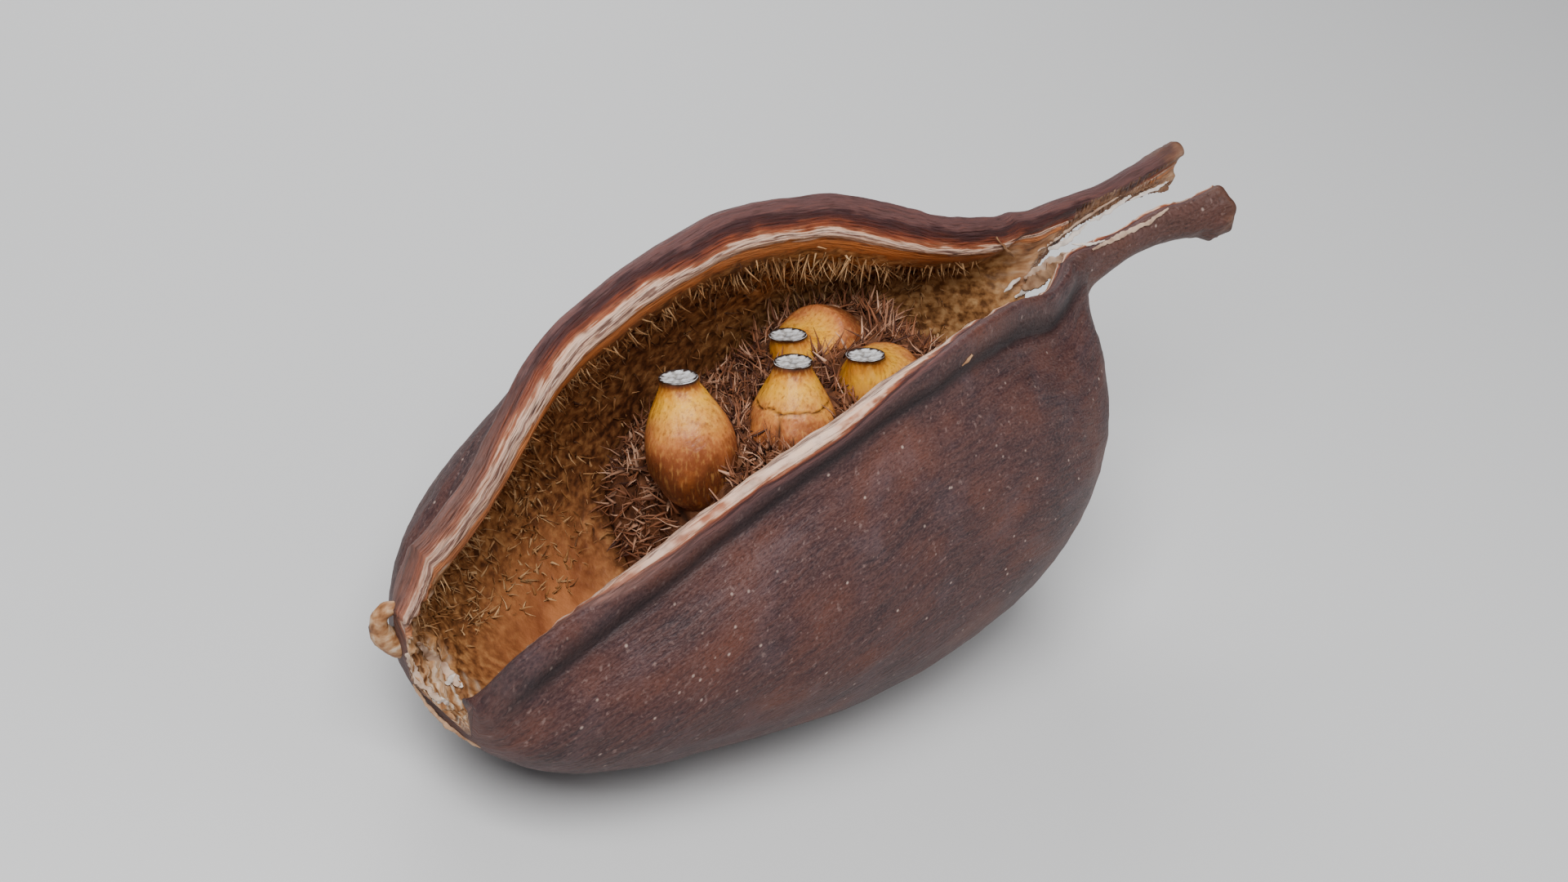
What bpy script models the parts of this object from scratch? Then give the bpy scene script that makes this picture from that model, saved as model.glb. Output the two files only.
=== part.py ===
"""A dry kurrajong-type seed pod, split open along its top seam and lying on its belly.

The pod is one woody shell: a boat with a wide mouth, a torn tip at -X and a stalk at +X that has
split into two prongs. A bed of bristles fills the bottom of the boat, and four seeds sit in it.
All sizes are in millimetres in the pod's own frame, whose X axis joins the tip to the stalk.
"""

import math
import random

import bmesh
import bpy
import numpy as np
from mathutils import Matrix, Vector, noise

MM = 0.001

# Shell: one row for each station along the pod, read by a smooth curve between the rows.
# x, half width, height of the widest point, height of the keel, half gap of the mouth, rim height
STATIONS = (
    (-22.6, 3.4, -1.4, -3.9, 2.9, 0.9),
    (-21.6, 5.0, -1.6, -5.4, 3.2, 1.3),
    (-19.4, 7.5, -1.7, -7.4, 3.7, 2.1),
    (-15.5, 10.2, -1.8, -9.8, 4.6, 3.8),
    (-9.0, 12.0, -2.4, -12.7, 6.2, 6.3),
    (-2.0, 12.8, -3.3, -15.0, 7.0, 8.0),
    (4.0, 13.0, -4.0, -16.5, 6.9, 8.2),
    (10.0, 12.8, -4.6, -17.2, 6.0, 6.8),
    (15.0, 11.7, -4.7, -16.7, 4.5, 4.2),
    (19.5, 9.3, -4.4, -14.2, 3.0, 2.1),
    (22.0, 6.6, -3.4, -10.6, 2.3, 1.5),
    (24.0, 3.8, -1.5, -5.4, 2.2, 1.5),
    (26.2, 2.9, -0.3, -2.7, 2.1, 1.0),
    (31.0, 2.8, -0.1, -2.0, 2.1, 0.6),
    (34.6, 3.0, -0.2, -2.2, 2.2, 0.6),
    (37.6, 3.4, -0.6, -2.9, 2.2, 1.2),
)
TIP_X, STALK_X, END_X = -22.6, 25.0, 37.6
# The pod isn't quite straight: x, and how far its middle line and its mouth's have left y = 0.
BODY_SWAY = (
    (-22.6, 0.0), (-14.0, 0.6), (-1.0, 0.0), (18.0, 0.0), (22.0, 0.3), (25.0, 0.75), (30.0, 0.5),
    (33.5, 0.1), (37.6, -0.7),
)
MOUTH_SWAY = ((-22.6, 0.0), (-15.5, -1.1), (-5.0, 0.0), (12.0, 0.0), (18.0, -0.5), (24.0, 0.0))
WALL_THICKNESS = 1.6
PRONG_THICKNESS = 1.2
NEAR_SHORTFALL, SHORTFALL_X = 1.4, 30.0  # the near prong ends this much before the far one
TIP_THICKNESS = 0.9
END_REACH = 3.0  # over this length the wall thins to the torn tip and its ends are cut square
TIP_RIM_TWIST = 1.1  # the far side of the tip stands this much higher, the near side lower
TIP_TWIST_REACH = 6.0
RIM_TURN_DEG = 63.0  # how far the upper wall has curled over where it reaches the rim
WIDEST_SHARE = 0.55  # the share of a section's path that lies below its widest point
LIP_REACH, LIP_FLARE = 3.4, 1.5
LIP_SWELL, LIP_SWELL_WIDTH = 0.5, 1.2
GROOVE_DEPTH, GROOVE_AT, GROOVE_WIDTH = 0.7, 2.3, 0.8
LIP_THICKENING = 0.6  # the wall swells inwards by this much at the rim
RIM_ROUNDING = 0.45
RIM_WAVE = 0.35
DENT_DEPTH, DENT_SIZE, DENT_STRETCH = 0.32, 7.0, 1.6
FLAT_SPOT_HEIGHT = 0.8  # the belly is flattened this far above its lowest point
REST_PITCH_DEG = 12.0  # lying on its belly, the pod has its stalk raised by this much

# Places on a section, as millimetres of wall from the rim, and the even steps down to the keel.
OUTER_STEPS, OUTER_EVEN = (0.0, 0.8, 1.6, 2.3, 3.1, 4.3), 8
INNER_STEPS, INNER_EVEN = (0.0, 1.8, 4.3), 7
FULL_GIRTH = 20.0  # a section with less wall than this squeezes the steps above

# Split between the prongs: x, and the half width of a jagged slot along the prongs' middle line
# at its top and at its bottom.
SPLIT = (
    (22.6, 0.2, 0.2), (23.2, 0.8, 0.9), (23.8, 0.5, 0.9), (25.0, 0.85, 1.9), (27.2, 0.9, 2.7),
    (29.6, 1.15, 3.2), (32.6, 1.1, 3.2), (39.0, 1.3, 3.4),
)
SPLIT_STAGGER = 0.45
SPLIT_BOTTOM, SPLIT_TOP = -6.0, 2.4

# Curled horn that the torn tip ends in, on the far side: points of its centre line and radii.
HORN = (
    ((-21.3, 3.1, 0.2), 1.0),
    ((-22.4, 3.4, 0.8), 0.95),
    ((-22.9, 3.5, 1.7), 0.8),
    ((-22.5, 3.4, 2.5), 0.6),
    ((-21.8, 3.2, 2.6), 0.4),
)
HORN_SIDES = 8

# Bristle bed: x, height of its top.
BED_TOP = (
    (-4.8, -11.4), (-4.0, -8.8), (-2.8, -6.6), (-0.6, -5.2), (4.0, -4.6), (9.0, -4.6),
    (13.0, -5.0), (16.5, -5.8), (19.0, -7.6), (20.3, -9.6),
)
BED_CROWN, BED_LUMP, BED_LUMP_SIZE = 2.4, 0.9, 2.2
BED_TOE = 3.0  # the crown rises over this length from the bed's thin end
BED_SECTIONS, BED_EVEN, BED_ACROSS = 30, 8, 12
CLEARANCE = 0.35  # between the bed, the wall and the seeds

# Bristles: how many, how long and how thick, on the bed and on the wall over it.
TUFT_COUNT, TUFT_LENGTH, TUFT_RADIUS = 190, (1.3, 2.6), (0.28, 0.45)
LINING_TUFT_COUNT, LINING_TUFT_LENGTH, LINING_TUFT_RADIUS = 110, (0.9, 1.7), (0.28, 0.42)
LINING_FAR_SHARE = 0.75
LINING_SPAN, LINING_SHARES = (-21.0, 19.0), (0.35, 0.93)  # along the pod, and from keel to rim
LAYER_GAP = 0.4
TUFT_SUNK, TUFT_GAP, TUFT_TRIES = 0.5, 0.03, 40
TUFT_CEILING = 4.6  # the bed's bristles end this high over its edge, and the lining's stay above

# Seeds: the scar disc's centre, the direction from the belly of the seed to the disc, how far the
# neck bends up from that direction, and the direction that the disc faces.
SEEDS = {
    "seed_1": ((-1.1, 5.2, 3.7), (0.12, 0.34, 0.93), 0.0, (0.2, 0.3, 0.93)),
    "seed_2": ((5.3, 2.6, 2.6), (0.24, 0.26, 0.94), 0.0, (0.24, 0.26, 0.94)),
    "seed_3": ((8.3, 6.2, 0.4), (-0.90, -0.05, 0.35), 1.6, (0.24, 0.28, 0.92)),
    "seed_4": ((9.0, 0.5, 2.2), (-0.45, -0.08, 0.89), 0.2, (0.24, 0.28, 0.92)),
}
TILT_FROM, TILT_TO = 0.5, 0.93  # over this share of its length a seed turns to face as its disc
SEED_LENGTH, NECK_SHARE = 8.2, 0.35
# Share of the seed's length from its base, and radius there.
SEED_PROFILE = (
    (0.0, 0.0), (0.015, 0.7), (0.06, 1.4), (0.15, 2.05), (0.3, 2.55), (0.45, 2.6),
    (0.6, 2.3), (0.75, 1.78), (0.87, 1.3), (0.93, 1.16), (0.97, 1.28), (1.0, 1.2),
)
SEED_SIDES, BALLS_PER_SEED = 16, 24
BASE_RADIUS = 0.15
SCAR_INSET, SCAR_SINK, PIT_RADIUS, PIT_DEPTH = 0.22, 0.1, 0.3, 0.3

SEED_OF_DRAWS = 11


def smooth_curve(knots):
    """A function through (x, y) knots that never overshoots them (monotone cubic)."""
    xs, ys = np.array(knots, float).T
    steps, slopes = np.diff(xs), np.diff(ys) / np.diff(xs)
    tangents = np.concatenate([[slopes[0]], (slopes[:-1] + slopes[1:]) / 2, [slopes[-1]]])
    for i, slope in enumerate(slopes):
        if slope == 0:
            tangents[i] = tangents[i + 1] = 0.0
            continue
        a, b = tangents[i] / slope, tangents[i + 1] / slope
        tangents[i] = 0.0 if a < 0 else tangents[i]
        tangents[i + 1] = 0.0 if b < 0 else tangents[i + 1]
        size = math.hypot(max(a, 0.0), max(b, 0.0))
        if size > 3:
            tangents[i], tangents[i + 1] = 3 * a / size * slope, 3 * b / size * slope

    def curve(x):
        x = min(max(x, xs[0]), xs[-1])
        i = min(int(np.searchsorted(xs, x, side="right")) - 1, len(steps) - 1)
        t = (x - xs[i]) / steps[i]
        return float(
            (1 + 2 * t) * (1 - t) ** 2 * ys[i]
            + t * (1 - t) ** 2 * steps[i] * tangents[i]
            + t * t * (3 - 2 * t) * ys[i + 1]
            + t * t * (t - 1) * steps[i] * tangents[i + 1]
        )

    return curve


def column(index):
    """The curve of one column of STATIONS along the pod."""
    return smooth_curve([(row[0], row[index]) for row in STATIONS])


half_width, widest_z, keel_z, rim_y, rim_z = (column(i) for i in range(1, 6))
sway, mouth_sway = smooth_curve(BODY_SWAY), smooth_curve(MOUTH_SWAY)
bed_top = smooth_curve(BED_TOP)
seed_radius = smooth_curve(SEED_PROFILE)


def ramp(x, start, end):
    """0 up to start and 1 past end, with a straight slope between them."""
    return min(max((x - start) / (end - start), 0.0), 1.0)


def wall_thickness(x):
    """The wall thins from the boat to the prongs and to the torn tip."""
    boat = TIP_THICKNESS + (WALL_THICKNESS - TIP_THICKNESS) * ramp(x, TIP_X, TIP_X + END_REACH)
    return boat + (PRONG_THICKNESS - boat) * ramp(x, STALK_X - 3, STALK_X + 2)


def boat_share(x):
    """1 along the boat, falling to 0 on the prongs and the torn tip, which have no lip."""
    return ramp(x, STALK_X, STALK_X - 4) * ramp(x, TIP_X, TIP_X + END_REACH)


def tip_twist(side, x):
    """How much this side of the rim is raised near the torn tip."""
    return side * TIP_RIM_TWIST * ramp(x, TIP_X + TIP_TWIST_REACH, TIP_X) ** 2


def reach(side, x):
    """Where a station lies along its side of the pod: the near prong's stations are closer."""
    return x - NEAR_SHORTFALL * ramp(x, SHORTFALL_X, END_X) * (side < 0)


def plain_wall_point(side, x, v):
    """A point on the middle of the wall: v is 0 at the keel and 1 at the rim, side -1 or 1."""
    wide = half_width(x) - wall_thickness(x) / 2
    middle, keel = widest_z(x), keel_z(x) + wall_thickness(x) / 2
    if v < WIDEST_SHARE:
        turn = math.pi / 2 * v / WIDEST_SHARE
        y = side * wide * math.sin(turn) + sway(x)
        return Vector((reach(side, x), y, middle - (middle - keel) * math.cos(turn)))
    full = math.radians(RIM_TURN_DEG)
    turn = full * (v - WIDEST_SHARE) / (1 - WIDEST_SHARE)
    curl = (1 - math.cos(turn)) / (1 - math.cos(full))
    top = rim_z(x) + tip_twist(side, x) + RIM_WAVE * noise.noise(Vector((x / 5, 3 * side, 1)))
    rise = (top - middle) * math.sin(turn) / math.sin(full)
    y = side * (wide - (wide - rim_y(x)) * curl) + sway(x) + mouth_sway(x) * curl
    return Vector((reach(side, x), y, middle + rise))


def wall_normal(side, x, v):
    """The wall's outward direction at a point, from its slopes along and round the pod."""
    step = 0.02
    low, high = max(v - step, 0.0), min(v + step, 1.0)
    back, ahead = max(x - 0.2, TIP_X), min(x + 0.2, END_X)
    along = plain_wall_point(side, ahead, v) - plain_wall_point(side, back, v)
    across = plain_wall_point(side, x, high) - plain_wall_point(side, x, low)
    normal = (along.cross(across) * -side).normalized()
    normal.x *= ramp(x, TIP_X, TIP_X + END_REACH) * ramp(x, END_X, END_X - END_REACH)
    return normal.normalized()


def girth(side, x):
    """The wall's length from keel to rim at a station, with the shares and lengths on the way."""
    shares = np.linspace(0, 1, 41)
    points = [plain_wall_point(side, x, v) for v in shares]
    lengths = np.cumsum([0.0] + [(b - a).length for a, b in zip(points, points[1:])])
    return shares, lengths


def wall_places(side, x, steps, even):
    """(v, distance from the rim) of a section's points, from the rim to the keel."""
    shares, lengths = girth(side, x)
    total = lengths[-1]
    squeeze = min(1.0, total / FULL_GIRTH)
    from_rim = [step * squeeze for step in steps]
    rest = total - from_rim[-1]
    from_rim += [from_rim[-1] + rest * (i + 1) / even for i in range(even)]
    return [(float(np.interp(total - d, lengths, shares)), d) for d in from_rim]


def lip_flare(x, distance):
    """How far the whole wall is turned outwards at a distance from the rim."""
    return LIP_FLARE * ramp(distance, LIP_REACH, 0) ** 2 * boat_share(x)


def outer_relief(x, point, distance):
    """The lip's swell, the groove under it and the skin's dents, measured outwards."""
    lip = LIP_SWELL * math.exp(-((distance / LIP_SWELL_WIDTH) ** 2))
    groove = GROOVE_DEPTH * math.exp(-(((distance - GROOVE_AT) / GROOVE_WIDTH) ** 2))
    return (lip - groove) * boat_share(x) + dents(point)


def dents(point):
    """Shallow dents in the dry skin, longer along the pod than across it."""
    place = Vector((point.x / DENT_STRETCH, point.y, point.z)) / DENT_SIZE
    return DENT_DEPTH * noise.noise(place)


def upright():
    """The upward direction of the resting pod, in the pod's own frame."""
    pitch = math.radians(REST_PITCH_DEG)
    return Vector((math.sin(pitch), 0, math.cos(pitch)))


def flattened(rings):
    """The rings, with the belly pressed flat where the pod rests."""
    up = upright()
    floor = min(point.dot(up) for ring in rings for point in ring) + FLAT_SPOT_HEIGHT
    return [[point + up * max(floor - point.dot(up), 0) for point in ring] for ring in rings]


def outer_point(side, x, v, distance):
    """A point of the skin."""
    normal = wall_normal(side, x, v)
    point = plain_wall_point(side, x, v)
    out = wall_thickness(x) / 2 + lip_flare(x, distance) + outer_relief(x, point, distance)
    return point + normal * out


def inner_point(side, x, v, distance):
    """A point of the hollow's wall."""
    swell = LIP_THICKENING * ramp(distance, LIP_REACH + 1, 0.5) * boat_share(x)
    out = lip_flare(x, distance) - wall_thickness(x) / 2 - swell
    return plain_wall_point(side, x, v) + wall_normal(side, x, v) * out


def rim_point(side, x):
    """The rounded crest of the rim, between skin and hollow."""
    crest = (plain_wall_point(side, x, 1.0) - plain_wall_point(side, x, 0.97)).normalized()
    middle = (outer_point(side, x, 1.0, 0.0) + inner_point(side, x, 1.0, 0.0)) / 2
    return middle + crest * RIM_ROUNDING


def shell_section(x):
    """The closed ring of one section: skin from near rim to far rim, then back inside."""
    ring = []
    for side in (-1, 1):
        skin = [outer_point(side, x, v, d) for v, d in wall_places(side, x, OUTER_STEPS, OUTER_EVEN)]
        ring += skin if side < 0 else skin[-2::-1]
    ring.append(rim_point(1, x))
    for side in (1, -1):
        hollow = [inner_point(side, x, v, d) for v, d in wall_places(side, x, INNER_STEPS, INNER_EVEN)]
        ring += hollow if side > 0 else hollow[-2::-1]
    ring.append(rim_point(-1, x))
    return ring


def stations():
    """The places of the shell's sections, closer together where the shape turns quickly."""
    spans = ((TIP_X, -21.0, 6), (-21.0, 18.0, 22), (18.0, 27.0, 13), (27.0, END_X, 8))
    return [a + (b - a) * i / n for a, b, n in spans for i in range(n)] + [END_X]


def loft(name, rings):
    """An object skinned over closed rings of equal length, with both ends filled."""
    mesh = bmesh.new()
    rows = [[mesh.verts.new(point * MM) for point in ring] for ring in rings]
    count = len(rings[0])
    for here, there in zip(rows, rows[1:]):
        for i in range(count):
            j = (i + 1) % count
            mesh.faces.new((here[i], here[j], there[j], there[i]))
    mesh.faces.new(rows[0])
    mesh.faces.new(rows[-1][::-1])
    bmesh.ops.recalc_face_normals(mesh, faces=mesh.faces)
    bmesh.ops.triangulate(mesh, faces=mesh.faces, ngon_method="EAR_CLIP")
    if mesh.calc_volume(signed=True) < 0:
        bmesh.ops.reverse_faces(mesh, faces=mesh.faces)
    return object_of(name, mesh)


def object_of(name, mesh):
    """A bmesh turned into an object of the scene."""
    data = bpy.data.meshes.new(name)
    mesh.to_mesh(data)
    mesh.free()
    made = bpy.data.objects.new(name, data)
    bpy.context.scene.collection.objects.link(made)
    return made


def tuft_points(bristle):
    """(point, radius) at a few places from a bristle's root to its tip."""
    base, direction, length, radius = bristle
    shares = (-0.2, 0.0, 0.2, 0.4, 0.6, 0.8, 1.0)
    return [(base + direction * length * t, radius * (1 - 0.85 * max(t, 0))) for t in shares]


def apart(points, others):
    """Whether no two of the two lists' balls come closer than TUFT_GAP."""
    return all((p - q).length > r + s + TUFT_GAP for p, r in points for q, s in others)


def grow_tufts(count, propose, clear_of):
    """Bristles that a proposal function draws, each clear of the others and of a list of balls."""
    grown, taken = [], []
    for _ in range(count * TUFT_TRIES):
        bristle = propose()
        points = tuft_points(bristle) if bristle else None
        if points and apart(points, clear_of) and apart(points, taken):
            grown.append(tuft(*bristle))
            taken += points
        if len(grown) == count:
            break
    return grown


def tuft(base, direction, length, radius):
    """A three-sided bristle, its root sunk below base."""
    mesh = bmesh.new()
    bmesh.ops.create_cone(
        mesh, cap_ends=True, segments=3, radius1=radius * MM, radius2=radius * 0.15 * MM,
        depth=(length + TUFT_SUNK) * MM,
    )
    turn = direction.to_track_quat("Z", "Y").to_matrix()
    middle = base + direction * (length - TUFT_SUNK) / 2
    bmesh.ops.transform(mesh, matrix=turn.to_4x4(), verts=mesh.verts)
    bmesh.ops.translate(mesh, vec=middle * MM, verts=mesh.verts)
    return object_of("tuft", mesh)


def combine(target, others, operation):
    """Applies one Boolean of target with a list of objects, and removes those."""
    group = bpy.data.collections.new(target.name + "_" + operation.lower())
    for other in others:
        group.objects.link(other)
    step = target.modifiers.new(operation, "BOOLEAN")
    step.operation, step.solver = operation, "EXACT"
    step.operand_type, step.collection = "COLLECTION", group
    bpy.context.view_layer.update()
    graph = bpy.context.evaluated_depsgraph_get()
    target.data = bpy.data.meshes.new_from_object(target.evaluated_get(graph))
    target.modifiers.clear()
    for other in others:
        bpy.data.objects.remove(other)
    bpy.data.collections.remove(group)


def drop_crumbs(piece):
    """Removes the scraps that a cut leaves loose, so that the piece is one body."""
    mesh = bmesh.new()
    mesh.from_mesh(piece.data)
    left, bodies = set(mesh.verts), []
    while left:
        body, edge = set(), {left.pop()}
        while edge:
            body |= edge
            edge = {e.other_vert(v) for v in edge for e in v.link_edges} - body
        left -= body
        bodies.append(body)
    bodies.sort(key=len)
    for crumb in bodies[:-1]:
        bmesh.ops.delete(mesh, geom=list(crumb), context="VERTS")
    mesh.to_mesh(piece.data)
    mesh.free()


def horn():
    """The curled horn of the tip, as a tapering bent rod with a blunt end."""
    centres, radii = [Vector(point) for point, _ in HORN], [radius for _, radius in HORN]
    return loft("horn", tube_rings(centres, radii, HORN_SIDES))


def tube_rings(centres, radii, sides, facing=None, shares=()):
    """Rings round a centre line, square to it, or turned to a facing by each ring's share."""
    rings = []
    for i, (centre, radius) in enumerate(zip(centres, radii)):
        along = (centres[min(i + 1, len(centres) - 1)] - centres[max(i - 1, 0)]).normalized()
        if facing:
            along = along.lerp(facing, shares[i]).normalized()
        across = along.cross(Vector((0, 1, 0))).normalized()
        up = along.cross(across)
        turns = [2 * math.pi * k / sides for k in range(sides)]
        rings.append([centre + (across * math.cos(t) + up * math.sin(t)) * radius for t in turns])
    return rings


def lining_tufts(draw):
    """Bristles on the hollow's wall, above the bed, most of them on the far side."""

    def propose():
        x = draw.uniform(*LINING_SPAN)
        side = 1 if draw.random() < LINING_FAR_SHARE else -1
        v = draw.uniform(*LINING_SHARES)
        base = hollow_point(side, x, v, 0.0)
        lean = Vector((draw.uniform(-1, 1), draw.uniform(-0.5, 0.5), draw.uniform(-1.0, 0.3)))
        direction = (lean - wall_normal(side, x, v) * 1.1).normalized()
        length, radius = draw.uniform(*LINING_TUFT_LENGTH), draw.uniform(*LINING_TUFT_RADIUS)
        ends = (base, base + direction * length)
        above_bed = all(in_layer(end, TUFT_CEILING + LAYER_GAP, math.inf) for end in ends)
        return (base, direction, length, radius) if above_bed else None

    return grow_tufts(LINING_TUFT_COUNT, propose, seed_balls())


def split_cutter():
    """The slot between the prongs, wider below, with the jags of its two sides set apart."""
    rings = []
    for x, top, bottom in SPLIT:
        middle, near_x = sway(x), x + SPLIT_STAGGER
        rings.append([
            Vector((x, middle + top, SPLIT_TOP)), Vector((x, middle + bottom, SPLIT_BOTTOM)),
            Vector((near_x, middle - bottom, SPLIT_BOTTOM)), Vector((near_x, middle - top, SPLIT_TOP)),
        ])
    return loft("split", rings)


def make_shell(draw):
    """The woody pod: boat, lip, split stalk, tip horn and the bristles of its lining."""
    shell = loft("pod_shell", flattened([shell_section(x) for x in stations()]))
    combine(shell, [split_cutter()], "DIFFERENCE")
    combine(shell, [horn()] + lining_tufts(draw), "UNION")
    drop_crumbs(shell)
    return shell


def hollow_point(side, x, v, gap):
    """A point inside the hollow, a gap away from its wall."""
    return plain_wall_point(side, x, v) - wall_normal(side, x, v) * (wall_thickness(x) / 2 + gap)


def hollow_share_at(side, x, z, gap):
    """The share v at which the hollow reaches a height."""
    shares = np.linspace(0, 0.9, 31)
    heights = [hollow_point(side, x, v, gap).z for v in shares]
    return float(np.interp(z, heights, shares))


def bed_section(x):
    """One ring of the bed: along the hollow's wall below, and a lumpy crown on top."""
    ring = []
    for side in (-1, 1):
        brim = hollow_share_at(side, x, bed_top(x), CLEARANCE)
        under = [hollow_point(side, x, brim * i / BED_EVEN, CLEARANCE) for i in range(BED_EVEN + 1)]
        ring += under[::-1] if side < 0 else under[1:]
    near, far = ring[0], ring[-1]
    for i in range(1, BED_ACROSS):
        point = far.lerp(near, i / BED_ACROSS)
        point.z += bed_crown(x, 1 - 2 * i / BED_ACROSS)
        ring.append(point)
    return ring


def bed_crown(x, across):
    """How far the bed's top stands over its edge: across runs from -1, near, to 1, far."""
    hump = (1 - across**2) * ramp(x, BED_TOP[0][0], BED_TOP[0][0] + BED_TOE)
    return hump * (BED_CROWN + BED_LUMP * noise.noise(Vector((x / BED_LUMP_SIZE, across * 5, 5))))


def in_layer(point, low, high):
    """Whether a point's height over the bed's edge is between two limits."""
    return low < point.z - bed_top(point.x) < high


def bed_tufts(draw):
    """Bristles that stand out of the bed's top, leaning inwards near the wall."""
    low, high = BED_TOP[0][0] + 0.5, BED_TOP[-1][0] - 1.6

    def propose():
        x, across = draw.uniform(low, high), draw.uniform(-0.9, 0.9)
        brim = hollow_share_at(1, x, bed_top(x), CLEARANCE)
        wide = hollow_point(1, x, brim, CLEARANCE).y
        slope = (bed_top(x + 0.3) - bed_top(x - 0.3)) / 0.6
        base = Vector((x, across * wide, bed_top(x) + bed_crown(x, across)))
        lean = Vector((draw.uniform(-0.9, 0.9), draw.uniform(-0.7, 0.7) - 0.9 * across, 0))
        direction = (Vector((-slope, 0, 1)).normalized() + lean).normalized()
        length, radius = draw.uniform(*TUFT_LENGTH), draw.uniform(*TUFT_RADIUS)
        in_reach = in_layer(base + direction * length, -1.0, TUFT_CEILING)
        return (base, direction, length, radius) if in_reach else None

    return grow_tufts(TUFT_COUNT, propose, seed_balls())


def seed_line(disc, direction, bend, facing):
    """Points of a seed's centre line from its base to the disc, and the way the disc faces."""
    disc, direction = Vector(disc), Vector(direction).normalized()
    neck = (direction + Vector((0, 0, 1)) * bend).normalized()
    corner = disc - neck * SEED_LENGTH * NECK_SHARE
    base = corner - direction * SEED_LENGTH * (1 - NECK_SHARE)
    points = []
    for share, _ in SEED_PROFILE:
        points.append(base * (1 - share) ** 2 + corner * 2 * share * (1 - share) + disc * share**2)
    return points, Vector(facing).normalized()


def seed_balls():
    """(centre, radius) of balls that fill every seed's socket."""
    balls = []
    for place in SEEDS.values():
        centres, _ = seed_line(*place)
        for i in range(BALLS_PER_SEED):
            share = (i + 0.5) / BALLS_PER_SEED
            centre = centres_at(centres, share)
            balls.append((centre, seed_radius(share) + CLEARANCE))
    return balls


def centres_at(centres, share):
    """The point of a seed's centre line at a share of its length."""
    shares = [row[0] for row in SEED_PROFILE]
    return Vector([float(np.interp(share, shares, [c[i] for c in centres])) for i in range(3)])


def seed_rings(place, grow=0.0):
    """The rings of a seed, grown by a clearance when it is made as a cutter."""
    centres, facing = seed_line(*place)
    radii = [radius + grow for _, radius in SEED_PROFILE]
    radii[0] = BASE_RADIUS + grow / 2
    tilts = [ramp(share, TILT_FROM, TILT_TO) for share, _ in SEED_PROFILE]
    if grow:
        centres[0] -= (centres[1] - centres[0]).normalized() * grow
        centres[-1] = centres[-1] + facing * grow
        return tube_rings(centres, radii, SEED_SIDES, facing, tilts)
    rings = tube_rings(centres, radii, SEED_SIDES, facing, tilts)
    disc, rim = centres[-1], rings[-1]
    scar = ((SCAR_SINK, radii[-1] - SCAR_INSET), (SCAR_SINK, PIT_RADIUS), (PIT_DEPTH, PIT_RADIUS / 2))
    for depth, radius in scar:
        rings.append([disc - facing * depth + (point - disc) * radius / radii[-1] for point in rim])
    return rings


def make_bed(draw):
    """The bristle bed, with a socket round each seed."""
    places = np.linspace(BED_TOP[0][0], BED_TOP[-1][0], BED_SECTIONS + 1)
    bed = loft("bristle_bed", [bed_section(float(x)) for x in places])
    combine(bed, bed_tufts(draw), "UNION")
    sockets = [loft("socket", seed_rings(place, CLEARANCE)) for place in SEEDS.values()]
    combine(bed, sockets, "DIFFERENCE")
    drop_crumbs(bed)
    return bed


def paint(piece, name, colour, roughness):
    """Gives the piece its own matt material."""
    material = bpy.data.materials.new(name)
    material.use_nodes = True
    shader = material.node_tree.nodes["Principled BSDF"]
    shader.inputs["Base Color"].default_value = (*colour, 1.0)
    shader.inputs["Roughness"].default_value = roughness
    piece.data.materials.clear()
    piece.data.materials.append(material)
    piece.data.shade_smooth()
    piece.data.set_sharp_from_angle(angle=math.radians(50))


def lay_down(pieces):
    """Turns the pod to its resting pitch and puts the middle of its box's floor at the origin."""
    turn = Matrix.Rotation(-math.radians(REST_PITCH_DEG), 3, "Y")
    corners = np.array([turn @ vertex.co for piece in pieces for vertex in piece.data.vertices])
    low, high = corners.min(0), corners.max(0)
    shift = Vector((-(low[0] + high[0]) / 2, -(low[1] + high[1]) / 2, -low[2]))
    for piece in pieces:
        piece.rotation_euler = turn.to_euler()
        piece.location = shift


def main():
    for old in list(bpy.data.objects):
        bpy.data.objects.remove(old)
    draw = random.Random(SEED_OF_DRAWS)
    shell = make_shell(draw)
    paint(shell, "pod_shell", (0.10, 0.045, 0.038), 0.6)
    bed = make_bed(draw)
    paint(bed, "bristle_bed", (0.28, 0.12, 0.05), 0.9)
    pieces = [shell, bed]
    for name, place in SEEDS.items():
        seed = loft(name, seed_rings(place))
        paint(seed, name, (0.72, 0.42, 0.12), 0.5)
        pieces.append(seed)
    lay_down(pieces)
    pod = bpy.data.collections.new("kurrajong_pod")
    bpy.context.scene.collection.children.link(pod)
    for piece in pieces:
        bpy.context.scene.collection.objects.unlink(piece)
        pod.objects.link(piece)


if __name__ == "__main__":
    main()
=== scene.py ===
"""Opened dry seed pod of the kurrajong kind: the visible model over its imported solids.

The pod lies on its belly with its torn tip at -X and its split stalk at +X. Shapes are worked out
in millimetres in the pod's own frame, whose X axis runs from tip to stalk, and then laid down.
"""

import logging
import math
from collections.abc import Iterable, Sequence
from dataclasses import dataclass, field
from enum import Enum

import bmesh
import bpy
import numpy as np
from mathutils import Matrix, Vector, noise
from mathutils.kdtree import KDTree


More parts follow.
